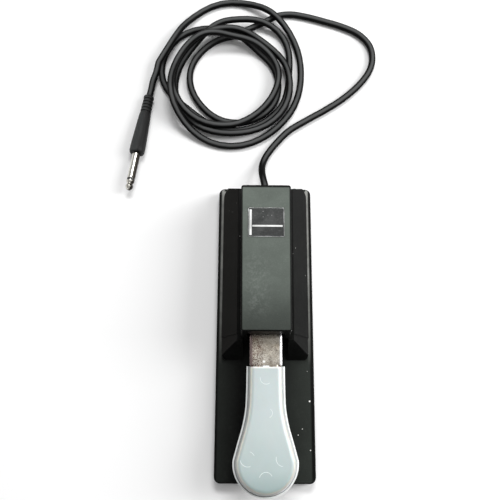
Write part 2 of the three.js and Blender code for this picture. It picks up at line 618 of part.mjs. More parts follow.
// ---------------------------------------------------------------- wires inside
const wire = { radius: 0.8, end: 2.75 };
const wireRoutes = {
  wire_sleeve: [[1.2, 94.5, 13.6], [1.6, 93.6, 13.4], [4, 92.8, 12.4], [6.8, 90, 11.4], [6.9, 80, 11.3],
    [6.3, 68, 11.3], [3.8, 64.6, 12.4], [wire.end, 64, 13.2]],
  wire_tip: [[-1.2, 94.5, 15.4], [-1.2, 93.5, 16.6], [2, 93, 19.6], [9, 93.4, 20.6], [15, 94.8, 18],
    [17, 97.2, 14.9]],
  wire_open: [[13.5, 97.3, 12.9], [12.8, 95, 12.7], [9.8, 88, 13.3], [9.2, 80, 13.6], [7.4, 73, 13.7],
    [4.4, 71.2, 13.8], [wire.end, 71, 13.9]],
  wire_closed: [[19.5, 97.3, 12.9], [18.6, 94, 13.6], [14, 88, 15.6], [12, 82, 16.1], [8, 78.8, 16.1],
    [4.6, 78, 15.9], [wire.end, 78, 15.6]],
};

// ---------------------------------------------------------------- screws
// Pan head above z = 0 with a slot across it, shank below.
function screw(headRadius, headHeight, shankRadius, shankLength) {
  const blank = turned([[0, -shankLength], [shankRadius, -shankLength], [shankRadius, 0], [headRadius, 0],
    [headRadius, headHeight * 0.5], [headRadius * 0.7, headHeight], [0, headHeight]], 8).rotateX(Math.PI / 2);
  const [reach, width] = [headRadius * 0.55, headRadius * 0.16];
  return cut(blank, box([-reach, reach], [-width, width], [headHeight * 0.45, headHeight + 1]));
}

// ---------------------------------------------------------------- assembly
const sustainPedal = new THREE.Group();

function piece(name, geometry, material, parent = sustainPedal) {
  const mesh = new THREE.Mesh(geometry, material);
  mesh.name = name;
  parent.add(mesh);
  return mesh;
}

piece("rubber_mat", rubberMat(), blackRubber);
piece("base_plate", basePlate(), blackPlastic);
piece("ballast_plate", ballastPlate(), darkSteel);
piece("housing_shell", housingShell(), blackPlastic);
piece("badge_plate", badgeSolid(), badgePlate);

piece("pedal_lever", pedalLever(), leverNickel);
piece("pedal_cover", pedalCover(), coverPlastic);
piece("pivot_bracket", pivotBracket(), steel);
for (const [side, name] of [[1, "right"], [-1, "left"]]) {
  const bushing = piece(`pivot_bush_${name}`, pivotBush(), nylon);
  bushing.rotation.z = -side * Math.PI / 2;
  bushing.position.set(0, pivot.y, pivot.z);
  const clip = piece(`e_clip_${name}`, eClip(), darkSteel);
  clip.rotation.z = Math.PI / 2;
  clip.position.set(side * (ear.outer + 0.75), pivot.y, pivot.z);
}
const shaft = piece("pivot_axle", pivotAxle(), steel);
shaft.rotation.z = -Math.PI / 2;
shaft.position.set(0, pivot.y, pivot.z);

piece("return_spring", springSolid(), darkSteel);
piece("spring_seat", springSeat(), nylon);
piece("front_stop_pad", stopPad(frontStop), blackRubber);
piece("rear_stop_pad", stopPad(rearStop), blackRubber);

piece("microswitch_body", microswitchBody(), switchPlastic);
piece("microswitch_leaf", microswitchLeaf(), steel);
piece("microswitch_button", microswitchButton(), redPlastic);
["common", "open", "closed"].forEach((name, i) => {
  piece(`terminal_${name}`, terminalBlade(microswitch.terminals[i]), brass);
});
piece("polarity_switch_body", polarityBody(), switchPlastic);
piece("polarity_slider", polaritySlider(), insulator);

piece("cord_grommet", grommet(), blackRubber);
piece("cord_clamp", cordClamp(), nylon);
piece("cord_inner", tube([[0, 103.3, cord.exitZ], [0, 95, cord.exitZ]], cord.radius, 8, 1), cordRubber);
for (const [name, route] of Object.entries(wireRoutes)) {
  piece(name, tube(route, wire.radius, 6, 12), name === "wire_sleeve" ? blackRubber : redPlastic);
}
piece("cord_lead", tube(leadRoute, cord.radius, 8, 26), cordRubber);
piece("cord_tail", tube(tailRoute, cord.radius, 8, 2), cordRubber);
const ring = piece("cord_coil", coilRing(), cordRubber);
ring.position.set(coil.x, coil.y, 0);
ring.scale.set(1, coil.stretch, 1);

const plugGroup = new THREE.Group();
plugGroup.position.set(plug.x, plug.y, plug.z);
plugGroup.rotation.set(THREE.MathUtils.degToRad(plug.tilt), 0, THREE.MathUtils.degToRad(plug.heading), "ZYX");
sustainPedal.add(plugGroup);
piece("plug_handle", plugHandle(), blackRubber, plugGroup);
piece("plug_sleeve", plugSleeve(), leverNickel, plugGroup);
piece("plug_insulator", plugInsulator(), insulator, plugGroup);
piece("plug_tip", plugTip(), leverNickel, plugGroup);

function fasten(prefix, places, [headRadius, headHeight, shankRadius, shankLength], turn = [0, 0, 0]) {
  places.forEach((place, i) => {
    const fastener = piece(`${prefix}_${i + 1}`, screw(headRadius, headHeight, shankRadius, shankLength),
      darkSteel);
    fastener.position.set(...place);
    fastener.rotation.set(...turn);
  });
}
const upward = [Math.PI, 0, 0];
fasten("base_screw", baseScrews.map(([x, y]) => [x, y, 4.6]), [3, 1.6, 1.3, 13], upward);
fasten("ballast_screw", ballastScrews.map(([x, y]) => [x, y, 4.8]), [2.8, 1.4, 1.3, 4], upward);
fasten("bracket_screw", bracketScrews.map(([x, y]) => [x, y, floorTop + ear.foot + gap]),
  [3, 1.8, 1.3, 5]);
fasten("clamp_screw", mirrored(clamp.screwX).map((x) => [x, clamp.y, floorTop + 2 + gap]),
  [2.2, 1.4, 1.3, 5]);
fasten("switch_screw", microswitch.screwsY.map((y) => [microswitch.half + 0.5, y, microswitch.screwZ]),
  [1.9, 1.2, 1.1, 8.6], [0, Math.PI / 2, 0]);
fasten("polarity_screw",
  mirrored(polarity.screwSpread).map((x) => [polarity.x + x, body.back + gap, polarity.z]),
  [1.5, 0.9, 0.8, 4.4], [-Math.PI / 2, 0, 0]);

export default sustainPedal;
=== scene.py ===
"""Looks for a piano-style sustain pedal: housing, base, lever, cover, plug and its coiled lead.

Everything is in metres, in the CAD model's frame: +X right, +Y to the back, +Z up, floor at z = 0.
"""

import json
from functools import partial
from math import cos, degrees, hypot, pi, radians, sin

import bmesh
import bpy
import numpy as np
from mathutils import Matrix, Vector


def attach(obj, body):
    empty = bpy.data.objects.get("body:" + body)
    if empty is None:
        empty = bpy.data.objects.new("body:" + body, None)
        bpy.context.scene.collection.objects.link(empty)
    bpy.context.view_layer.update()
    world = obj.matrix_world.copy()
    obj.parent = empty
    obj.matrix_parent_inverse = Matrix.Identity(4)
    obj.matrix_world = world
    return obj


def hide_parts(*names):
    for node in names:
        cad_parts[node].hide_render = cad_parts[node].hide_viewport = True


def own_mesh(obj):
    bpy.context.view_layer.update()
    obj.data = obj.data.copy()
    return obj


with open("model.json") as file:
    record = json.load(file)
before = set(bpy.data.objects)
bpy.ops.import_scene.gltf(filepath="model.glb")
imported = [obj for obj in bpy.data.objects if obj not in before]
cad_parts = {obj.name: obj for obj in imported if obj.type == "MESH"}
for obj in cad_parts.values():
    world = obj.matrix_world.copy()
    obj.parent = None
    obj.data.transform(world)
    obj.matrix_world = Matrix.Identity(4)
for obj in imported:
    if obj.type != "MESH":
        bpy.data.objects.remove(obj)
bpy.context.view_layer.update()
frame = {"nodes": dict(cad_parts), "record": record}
MM = 0.001


# ------------------------------ camera
CAMERA_PLACE = (-0.0115, -0.0977, 0.527)
CAMERA_TILT, CAMERA_ROLL = 17, 0.37  # degrees off straight down, and about the line of sight
CAMERA_LENS, CAMERA_SENSOR = 50.4, 36


def add_object(name, data):
    obj = bpy.data.objects.new(name, data)
    bpy.context.scene.collection.objects.link(obj)
    return obj


def make_camera():
    data = bpy.data.cameras.new("camera")
    data.lens = CAMERA_LENS
    data.sensor_width = CAMERA_SENSOR
    camera = add_object("camera", data)
    tilt, roll = radians(CAMERA_TILT), radians(CAMERA_ROLL)
    camera.matrix_world = (Matrix.Translation(CAMERA_PLACE) @ Matrix.Rotation(tilt, 4, "X")
                           @ Matrix.Rotation(roll, 4, "Z"))
    bpy.context.scene.camera = camera


make_camera()


# ------------------------------ the lead
CORD_RADIUS = 2.75 * MM
# From the grommet along the floor to the coil, then across the coil's back, under its turns.
LEAD = [
    (0, 0.1106, 0.0146), (-0.0003, 0.1134, 0.0144), (-0.0016, 0.1198, 0.0123), (-0.0024, 0.1281, 0.0079),
    (-0.0014, 0.1361, 0.0046), (0.0024, 0.1446, 0.0031), (0.0098, 0.1548, 0.0028),
    (0.0206, 0.1661, 0.0028), (0.0358, 0.176, 0.0028), (0.0508, 0.1852, 0.0028),
    (0.0656, 0.1956, 0.0028), (0.0793, 0.2085, 0.0028), (0.0886, 0.2218, 0.0028),
    (0.092, 0.2347, 0.0028), (0.0896, 0.2478, 0.0028), (0.0805, 0.2585, 0.0028),
    (0.0669, 0.2656, 0.0028), (0.0519, 0.2707, 0.0028), (0.0363, 0.2753, 0.0028),
    (0.0223, 0.2777, 0.0028), (0.0105, 0.2759, 0.0028), (0.0014, 0.2706, 0.0028),
    (-0.01, 0.2645, 0.0028)]
# The coil as the camera shows it: the lead's distance from the coil's centre, in millimetres at the height
# SEEN_AT, at every 45 degrees, one row to a turn. Read off and trimmed by up to 0.3 mm.
COIL_SEEN = [
    [35, 32.5, 35, 38.8, 46.5, 46.8, 38, 31],
    [40, 54.7, 58.7, 49.4, 54, 53.2, 48.9, 57],
    [52, 42.2, 45.3, 54.1, 56, 56, 47.9, 40.3],
    [44.1, 45, 48.2, 51, 48.5, 41.6, 39.7, 36.3],
    [37, 46, 48.9, 57.9, 68.1, 62.8, 58.8, 64.9],
    [69.4, 62]]
SEEN_AT = 4 * MM
COIL_CENTRE = (-0.0283, 0.2189)
COIL_START = 90.4
COIL_STEP = 45
TAIL = [(-0.0898, 0.2257, 0.005), (-0.0912, 0.218, 0.005), (-0.0941, 0.209, 0.0046),
        (-0.0952, 0.2025, 0.0042), (-0.0965, 0.1959, 0.004)]
CORD_STEP = 2.2 * MM
HUMP = 14 * MM  # half the length of the hump where the lead crosses itself
SETTLE_STEPS, ONLY_LIFTING = 160, 30  # passes in all, and how many of the last only lift
NOT_CROSSING = 12  # steps within which the lead can't meet itself
FLOOR_GAP, SINKING, ENOUGH = 0.05 * MM, 0.03 * MM, 0.02 * MM
HELD_FRONT, HELD_END = 14, 5  # steps at the housing and at the plug that stay where they are
CURVE_PARTS = 6  # points on a curve between two of the given ones
LAYING_PASSES, LAYING_SHARE = 6, 0.6
LAYING_REACH = 6  # steps to each side in which a given point is looked for


def catmull(points, parts):
    """Points along a smooth curve through the given ones, with the same number between each two."""
    p = np.array(points, float)
    p = np.vstack([2 * p[0] - p[1], p, 2 * p[-1] - p[-2]])
    out = []
    for i in range(1, len(p) - 2):
        for k in range(parts):
            t = k / parts
            a = 2 * p[i]
            b = p[i + 1] - p[i - 1]
            c = 2 * p[i - 1] - 5 * p[i] + 4 * p[i + 1] - p[i + 2]
            d = 3 * p[i] - p[i - 1] - 3 * p[i + 1] + p[i + 2]
            out.append(0.5 * (a + b * t + c * t * t + d * t ** 3))
    out.append(p[-2])
    return np.array(out)


def even(points, step):
    """The curve cut into even steps."""
    along = np.concatenate([[0], np.cumsum(np.linalg.norm(np.diff(points, axis=0), axis=1))])
    at = np.linspace(0, along[-1], int(round(along[-1] / step)) + 1)
    return np.column_stack([np.interp(at, along, points[:, k]) for k in range(3)])


def coil_points(distances):
    """The coil's turns, flat on the floor."""
    smooth = catmull(distances.reshape(-1, 1), CURVE_PARTS)[:, 0] * MM
    angles = np.radians(COIL_START + COIL_STEP / CURVE_PARTS * np.arange(len(smooth)))
    x = COIL_CENTRE[0] + smooth * np.cos(angles)
    y = COIL_CENTRE[1] + smooth * np.sin(angles)
    return np.column_stack([x, y, np.full(len(x), CORD_RADIUS)])


def settle(points):
    """Lays the lead down as it falls: a later stretch crosses an earlier one in a long low hump."""
    diameter = 2 * CORD_RADIUS
    low_limit = CORD_RADIUS + FLOOR_GAP
    count = len(points)
    height = np.maximum(points[:, 2], low_limit)
    held = np.zeros(count, bool)
    held[:HELD_FRONT] = True
    held[-HELD_END:] = True
    below, above = np.triu_indices(count, NOT_CROSSING)
    apart = np.linalg.norm(points[above, :2] - points[below, :2], axis=1)
    near = apart < diameter
    below, above, apart = below[near], above[near], apart[near]
    need = np.sqrt(diameter ** 2 - apart ** 2)
    reach = int(3 * HUMP / CORD_STEP)
    hump = np.exp(-(np.arange(-reach, reach + 1) * CORD_STEP / HUMP) ** 2)
    for step in range(SETTLE_STEPS):
        lack = np.zeros(count)
        np.maximum.at(lack, above, np.maximum(need - (height[above] - height[below]), 0))
        lift = np.zeros(count)
        for i in np.nonzero(lack > ENOUGH)[0]:
            low, high = max(0, i - reach), min(count, i + reach + 1)
            part = lack[i] * hump[reach - (i - low):reach + (high - i)]
            lift[low:high] = np.maximum(lift[low:high], part)
        height = height + lift
        if step < SETTLE_STEPS - ONLY_LIFTING:
            for _ in range(2):
                height[1:-1] += 0.5 * (0.5 * (height[:-2] + height[2:]) - height[1:-1])
            height = np.maximum(height - SINKING, low_limit)
        height[held] = points[held, 2]
    return np.column_stack([points[:, :2], height])


def route(distances):
    """The lead before it settles, and where in it the coil's distances are."""
    lead = catmull(LEAD, CURVE_PARTS)
    points = np.vstack([lead, coil_points(distances), catmull(TAIL, CURVE_PARTS)])
    return points, len(lead) + CURVE_PARTS * np.arange(len(distances))


def shown_distances(points, marks, path):
    """How far from the coil's centre the settled lead shows, carried along the camera's sight to SEEN_AT."""
    eye = np.array(CAMERA_PLACE)
    along = np.concatenate([[0], np.cumsum(np.linalg.norm(np.diff(points, axis=0), axis=1))])
    shown = []
    for mark in marks:
        k = int(round(along[mark] / CORD_STEP))
        near = path[max(0, k - LAYING_REACH):k + LAYING_REACH + 1]
        nearest = near[np.argmin(np.linalg.norm(near[:, :2] - points[mark, :2], axis=1))]
        seen = eye + (nearest - eye) * (SEEN_AT - eye[2]) / (nearest[2] - eye[2])
        shown.append(hypot(seen[0] - COIL_CENTRE[0], seen[1] - COIL_CENTRE[1]) / MM)
    return np.array(shown)


def coil_distances():
    """Where the turns lie, to half a millimetre, to show at COIL_SEEN although they lift each other."""
    seen = np.array([distance for turn in COIL_SEEN for distance in turn], float)
    distances = seen
    for _ in range(LAYING_PASSES):
        points, marks = route(distances)
        shown = shown_distances(points, marks, settle(even(points, CORD_STEP)))
        distances = distances + LAYING_SHARE * (seen - shown)
    return np.round(2 * distances) / 2


# ------------------------------ solids, in millimetres
CORNER_PARTS = 8


def solid(verts, faces):
    """A closed mesh object with its faces pointing out."""
    mesh = bpy.data.meshes.new("solid")
    mesh.from_pydata(verts, [], faces)
    bm = bmesh.new()
    bm.from_mesh(mesh)
    bmesh.ops.remove_doubles(bm, verts=bm.verts, dist=1e-4)
    bmesh.ops.recalc_face_normals(bm, faces=bm.faces)
    bm.to_mesh(mesh)
    bm.free()
    return add_object("solid", mesh)


def loft(rings):
    """Closed rings of equally many points, joined one to the next, with flat ends."""
    count = len(rings[0])
    verts = [point for ring in rings for point in ring]
    faces = []
    for r in range(len(rings) - 1):
        for i in range(count):
            j = (i + 1) % count
            faces.append((r * count + i, r * count + j, (r + 1) * count + j, (r + 1) * count + i))
    faces.append(tuple(range(count)))
    faces.append(tuple(range((len(rings) - 1) * count, len(rings) * count)))
    return solid(verts, faces)


def prism(points, low, high, axis="z"):
    """An outline drawn out along an axis: (x, y) along z, (y, z) along x, (x, z) along y."""
    order = {"x": (2, 0, 1), "y": (0, 2, 1), "z": (0, 1, 2)}[axis]
    return loft([[tuple((a, b, h)[k] for k in order) for a, b in points] for h in (low, high)])


def box(x, y, z):
    return prism([(x[0], y[0]), (x[1], y[0]), (x[1], y[1]), (x[0], y[1])], *z)


def arc(centre, radius, start, end, parts):
    """Points on an arc; the angles are in degrees and radius is one number or two."""
    rx, ry = radius if isinstance(radius, tuple) else (radius, radius)
    turns = [radians(start + (end - start) * i / parts) for i in range(parts + 1)]
    return [(centre[0] + rx * cos(t), centre[1] + ry * sin(t)) for t in turns]


def pin(x, y, radius, low, high, axis="z", sides=32):
    return prism(arc((x, y), radius, 0, 360 * (1 - 1 / sides), sides - 1), low, high, axis)


def rounded(half_x, half_y, radius, centre_y=0):
    """The outline of a rectangle with rounded corners."""
    x, y = half_x - radius, half_y - radius
    corners = [(x, y), (-x, y), (-x, -y), (x, -y)]
    return [point for i, (cx, cy) in enumerate(corners)
            for point in arc((cx, centre_y + cy), radius, 90 * i, 90 * (i + 1), CORNER_PARTS)]


def apply(obj):
    """Turns an object's modifiers into mesh."""
    mesh = bpy.data.meshes.new_from_object(obj.evaluated_get(bpy.context.evaluated_depsgraph_get()))
    obj.modifiers.clear()
    obj.data = mesh
    return obj


def combine(operation, first, *others):
    for other in others:
        modifier = first.modifiers.new("boolean", "BOOLEAN")
        modifier.operation, modifier.solver, modifier.object = operation, "MANIFOLD", other
    apply(first)
    for other in others:
        bpy.data.objects.remove(other)
    return first


join, cut, keep = (partial(combine, operation) for operation in ("UNION", "DIFFERENCE", "INTERSECT"))


def soften(obj, width, segments, angle=30):
    """Rounds every edge that turns by more than the angle."""
    modifier = obj.modifiers.new("soften", "BEVEL")
    modifier.width, modifier.segments = width, segments
    modifier.limit_method, modifier.angle_limit = "ANGLE", radians(angle)
    modifier.miter_outer = "MITER_ARC"
    return apply(obj)


def lathe(profile, segments=64):
    """A profile of (radius, y) turned about the Y axis, from the axis back to the axis."""
    turns = [2 * pi * i / segments for i in range(segments)]
    return loft([[(r * cos(t), y, r * sin(t)) for t in turns] for r, y in profile[1:-1]])


def tube(path, radius, sides, sink=0.0):
    """A round rod along a path, thinning to nothing at its ends if it is sunk in a surface."""
    points = np.array(path, float)
    along = np.gradient(points, axis=0)
    along /= np.linalg.norm(along, axis=1)[:, None]
    rings = []
    for i, (p, t) in enumerate(zip(points, along)):
        share = min(i, len(points) - 1 - i) / (0.2 * len(points))
        size = radius * (min(1, 0.25 + share) if sink else 1)
        across = np.cross(t, (0, 0, 1))
        across /= np.linalg.norm(across)
        up = np.cross(across, t)
        centre = p - np.array((0, 0, sink + (radius - size)))
        rings.append([tuple(centre + size * (cos(a) * across + sin(a) * up))
                      for a in (2 * pi * k / sides for k in range(sides))])
    return loft(rings)


def shear(obj, slope, start):
    """Leans a solid so that it rises by the slope along Y, from the start on."""
    for vertex in obj.data.vertices:
        vertex.co.z += slope * (vertex.co.y - start)
    return obj


def piece(obj, name, body, look, *nodes, place=None, sharp=38):
    """Names a finished solid, gives it its look and puts it in the place of CAD nodes."""
    obj.name = obj.data.name = name
    if place is not None:
        obj.data.transform(place)
    obj.data.transform(Matrix.Scale(MM, 4))
    obj.data.materials.clear()
    obj.data.materials.append(looks[look])
    obj.data.shade_smooth()
    obj.data.set_sharp_from_angle(angle=radians(sharp))
    modifier = obj.modifiers.new("normals", "WEIGHTED_NORMAL")
    modifier.keep_sharp = True
    modifier.weight = 80
    apply(obj)
    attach(obj, body)
    if nodes:
        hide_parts(*nodes)
    return obj


# ------------------------------ materials
# The film colour is a grey film spread as painted light; the margin colour is a painted highlight.
FILM_AND_LIGHT_COLOUR, PATCH_COLOUR, MARGIN_HIGHLIGHT_COLOUR = (0.138, 0.160, 0.141), (0.22, 0.235, 0.22), (0.34, 0.345, 0.325)
# On the lever: tarnish stains, a darker reddish left edge, and a painted highlight along its right edge.
STAIN_COLOUR, DARK_LEFT_EDGE, RIGHT_EDGE_HIGHLIGHT = (0.13, 0.065, 0.05), (0.25, 0.19, 0.18), (0.93, 0.91, 0.92)
SHADE_COLOUR = (0.0025, 0.002, 0.0008)
SPECK_PATCH_SCALE, SPECK_PATCH_LEVEL = 30, 0.55
looks = {}


def put(node, **values):
    """Sets a node's inputs by their names."""
    for name, value in values.items():
        node.inputs[name.replace("_", " ")].default_value = value


def noise(tree, coords, scale, detail, rough=0.5, distortion=0.0, stretch=None):
    node = tree.nodes.new("ShaderNodeTexNoise")
    put(node, Scale=scale, Detail=detail, Roughness=rough, Distortion=distortion)
    if stretch:
        mapping = tree.nodes.new("ShaderNodeMapping")
        put(mapping, Scale=stretch)
        tree.links.new(coords, mapping.inputs["Vector"])
        coords = mapping.outputs["Vector"]
    tree.links.new(coords, node.inputs["Vector"])
    return node.outputs["Fac"]


def feed(tree, socket, value):
    """Gives a socket a link, a number or a colour."""
    if isinstance(value, bpy.types.NodeSocket):
        tree.links.new(value, socket)
    else:
        socket.default_value = (*value, 1) if isinstance(value, tuple) else value


def ramp(tree, value, stops):
    """A colour ramp; each stop is (position, grey or colour)."""
    node = tree.nodes.new("ShaderNodeValToRGB")
    elements = node.color_ramp.elements
    while len(elements) < len(stops):
        elements.new(0.5)
    for element, (position, colour) in zip(elements, stops):
        element.position = position
        element.color = (*colour, 1) if isinstance(colour, tuple) else (colour, colour, colour, 1)
    tree.links.new(value, node.inputs["Fac"])
    return node.outputs["Color"]


def mix(tree, share, first, second, blend="MIX"):
    node = tree.nodes.new("ShaderNodeMix")
    node.data_type, node.blend_type = "RGBA", blend
    for name, value in (("Factor", share), ("A", first), ("B", second)):
        feed(tree, node.inputs[name], value)
    return node.outputs["Result"]


def calculate(tree, operation, *values):
    """A sum on sockets and numbers."""
    node = tree.nodes.new("ShaderNodeMath")
    node.operation = operation
    for socket, value in zip(node.inputs, values):
        feed(tree, socket, value)
    return node.outputs[0]


def between(tree, value, start, end):
    """0 where a value in metres is at the start, 1 where it is at the end; both are in millimetres."""
    return calculate(tree, "MULTIPLY_ADD", value, 1 / ((end - start) * MM), -start / (end - start))


def fade(tree, value, start, end, stops):
    """A colour ramp over a span of millimetres."""
    return ramp(tree, between(tree, value, start, end), stops)


def product(tree, *values):
    out = values[0]
    for value in values[1:]:
        out = mix(tree, 1.0, out, value, "MULTIPLY")
    return out


def places(tree):
    """The place on the object, in metres: whole, and its x, y and z."""
    coords = tree.nodes.new("ShaderNodeTexCoord").outputs["Object"]
    split = tree.nodes.new("ShaderNodeSeparateXYZ")
    tree.links.new(coords, split.inputs["Vector"])
    return coords, split.outputs["X"], split.outputs["Y"], split.outputs["Z"]


def specks(tree, coords, scale, size):
    """Sparse small dots in patches: 1 on a dot, 0 elsewhere."""
    cells = tree.nodes.new("ShaderNodeTexVoronoi")
    put(cells, Scale=scale)
    tree.links.new(coords, cells.inputs["Vector"])
    dot = calculate(tree, "LESS_THAN", cells.outputs["Distance"], size)
    patch = calculate(tree, "GREATER_THAN", noise(tree, coords, SPECK_PATCH_SCALE, 2), SPECK_PATCH_LEVEL)
    return calculate(tree, "MULTIPLY", dot, patch)


def look(name, colours, roughness, metallic=0.0, *, mottle, grain=(1500, 0.15, 0.00005), dust=None,
         stretch=None, fine=None, **constants):
    """A material: two colours mottled together, a range of roughness, fine grain, and dust."""
    material = bpy.data.materials.new(name)
    material.use_nodes = True
    tree = material.node_tree
    shader = tree.nodes["Principled BSDF"]
    put(shader, Metallic=metallic, **constants)
    coords = tree.nodes.new("ShaderNodeTexCoord").outputs["Object"]
    broad = noise(tree, coords, mottle, 5, 0.6, 0.3)
    colour = ramp(tree, broad, [(0.35, colours[0]), (0.65, colours[1])])
    if fine:
        scale, share, tint = fine
        spots = ramp(tree, noise(tree, coords, scale, 4, 0.65, 0.5, stretch),
                     [(0.5, 0.0), (0.68, share)])
        colour = mix(tree, spots, colour, tint)
    if dust:
        scale, size, tint = dust
        colour = mix(tree, specks(tree, coords, scale, size), colour, tint)
    tree.links.new(colour, shader.inputs["Base Color"])
    sheen = ramp(tree, noise(tree, coords, mottle * 2.3, 4, 0.6, 0.2),
                 [(0.3, roughness[0]), (0.7, roughness[1])])
    tree.links.new(sheen, shader.inputs["Roughness"])
    scale, strength, distance = grain
    bump = tree.nodes.new("ShaderNodeBump")
    put(bump, Strength=strength, Distance=distance)
    tree.links.new(noise(tree, coords, scale, 2, 0.5, 0.0, stretch), bump.inputs["Height"])
    tree.links.new(bump.outputs["Normal"], shader.inputs["Normal"])
    looks[name] = material


def base_colour(name):
    """A look's nodes, its base colour's socket, and what feeds that so far."""
    tree = looks[name].node_tree
    target = tree.nodes["Principled BSDF"].inputs["Base Color"]
    return tree, target, target.links[0].from_socket


def paint_light_by_facing(name, direction, stops, tint):
    """Paints light or shade into a look: mixes a tint by how far the surface turns towards a direction in
    the room.
    """
    tree, target, plain = base_colour(name)
    facing = tree.nodes.new("ShaderNodeVectorMath")
    facing.operation = "DOT_PRODUCT"
    tree.links.new(tree.nodes.new("ShaderNodeNewGeometry").outputs["Normal"], facing.inputs[0])
    facing.inputs[1].default_value = direction
    share = ramp(tree, facing.outputs["Value"], stops)
    tree.links.new(mix(tree, share, plain, tint), target)


def on_base(tree, z):
    return fade(tree, z, 0, 60, [(0.17, 1.0), (0.2, 0.0)])


def on_block(tree, z):
    return fade(tree, z, 0, 60, [(0.75, 0.0), (0.8, 1.0)])


def block_film_and_reflection(tree, y, z):
    """Thinner towards the block's front, and none on its back edge; the fall towards the front is a painted
    reflection of the light behind the pedal.
    """
    return product(
        tree, on_block(tree, z),
        fade(tree, y, -15, 85, [(0.0, 0.3), (0.15, 0.45), (0.4, 0.9), (1.0, 1.0)]),
        fade(tree, y, 90, 100, [(0.58, 1.0), (0.66, 0.0)]))


def base_film_and_light(tree, x, z):
    """Thicker towards the base's right side, where the right light falls, and thinnest left of the middle,
    in the lever's shadow: a grey film laid out as painted light and painted shadow. None on its edges.
    """
    stops = [(0.018, 0.0), (0.03, 0.12), (0.13, 0.06), (0.25, 0.0), (0.55, 0.02), (0.75, 0.12),
             (0.955, 0.2), (0.97, 0.0)]
    return product(tree, on_base(tree, z), fade(tree, x, -BASE_HALF[0], BASE_HALF[0], stops))


def margin_highlight(tree, coords, x, y, z, flat):
    """Painted highlights on the narrow strips of the base beside the housing, and on its two back corners.
    """
    outwards = between(tree, calculate(tree, "ABSOLUTE", x), 0, BASE_HALF[0])
    strip = product(
        tree, on_base(tree, z), flat,
        ramp(tree, outwards, [(0.88, 0.0), (0.892, 0.9), (0.93, 0.85), (0.95, 0.0)]),
        fade(tree, y, -60, 140, [(0.16, 0.0), (0.3, 0.5), (0.5, 0.9), (0.75, 1.0)]),
        ramp(tree, noise(tree, coords, 90, 4, 0.6, 0.3), [(0.3, 0.6), (0.6, 1.0)]))
    corner = product(
        tree, on_base(tree, z), flat,
        ramp(tree, outwards, [(0.6, 0.0), (0.75, 0.9), (0.91, 0.9), (0.935, 0.0)]),
        fade(tree, y, 100, 110, [(0.4, 0.0), (0.6, 1.0), (0.82, 1.0), (0.92, 0.0)]))
    return mix(tree, 1.0, strip, corner, "LIGHTEN")


def scuffed_patch(tree, coords, x, y, z, flat):
    """A scuffed patch on the block's top, left of its middle."""
    return product(
        tree, on_block(tree, z), flat,
        fade(tree, x, -20, 20, [(0.08, 0.0), (0.25, 1.0), (0.45, 0.8), (0.65, 0.0)]),
        fade(tree, y, -50 / 3, 200 / 3, [(0.15, 0.0), (0.3, 0.8), (0.6, 1.0), (0.8, 0.0)]),
        ramp(tree, noise(tree, coords, 380, 5, 0.7, 0.4), [(0.46, 0.0), (0.66, 0.4)]))


def make_film_and_light():
    """A thin grey film on the flat tops of the black block and base, spread as painted light and painted
    reflection, with scuffs and painted highlights on the margins.
    """
    tree, target, plain = base_colour("black_plastic")
    coords, x, y, z = places(tree)
    normal = tree.nodes.new("ShaderNodeSeparateXYZ")
    tree.links.new(tree.nodes.new("ShaderNodeNewGeometry").outputs["True Normal"], normal.inputs["Vector"])
    flat = ramp(tree, normal.outputs["Z"], [(0.975, 0.0), (0.993, 1.0)])
    cloud = ramp(tree, noise(tree, coords, 60, 5, 0.6, 0.3), [(0.3, 0.8), (0.7, 1.0)])
    scuffs = ramp(tree, noise(tree, coords, 1100, 3, 0.6, 0.2), [(0.5, 0.88), (0.64, 1.0)])
    # How much film lies where is painted light: a painted reflection on the block, and painted light and the
    # lever's shadow on the base.
    film_and_light = mix(tree, 1.0, block_film_and_reflection(tree, y, z), base_film_and_light(tree, x, z), "ADD")
    film_and_light = product(tree, film_and_light, flat, cloud, scuffs)
    colour = mix(tree, film_and_light, plain, FILM_AND_LIGHT_COLOUR)
    colour = mix(tree, scuffed_patch(tree, coords, x, y, z, flat), colour, PATCH_COLOUR)
    # Painted highlights on the base's margins.
    colour = mix(tree, margin_highlight(tree, coords, x, y, z, flat), colour, MARGIN_HIGHLIGHT_COLOUR)
    tree.links.new(colour, target)


def make_stains_and_edge_light():
    """The lever's plating is stained towards its left and darker, reddish at its left edge, with a painted
    highlight along its right edge.
    """
    tree, target, plain = base_colour("lever_nickel")
    coords, x, _, _ = places(tree)
    spots = ramp(tree, noise(tree, coords, 1300, 3, 0.6, 0.4), [(0.46, 0.0), (0.56, 1.0)])
    left = fade(tree, x, -10, 0, [(0.0, 1.0), (0.7, 0.75), (1.0, 0.2)])
    colour = mix(tree, product(tree, spots, left), plain, STAIN_COLOUR)
    # A darker reddish left edge, and a painted highlight along the right edge.
    for edge_x, tint in ((-10, DARK_LEFT_EDGE), (10, RIGHT_EDGE_HIGHLIGHT)):
        edge = fade(tree, x, 0, edge_x, [(0.92, 0.0), (0.96, 1.0)])
        colour = mix(tree, edge, colour, tint)
    tree.links.new(colour, target)


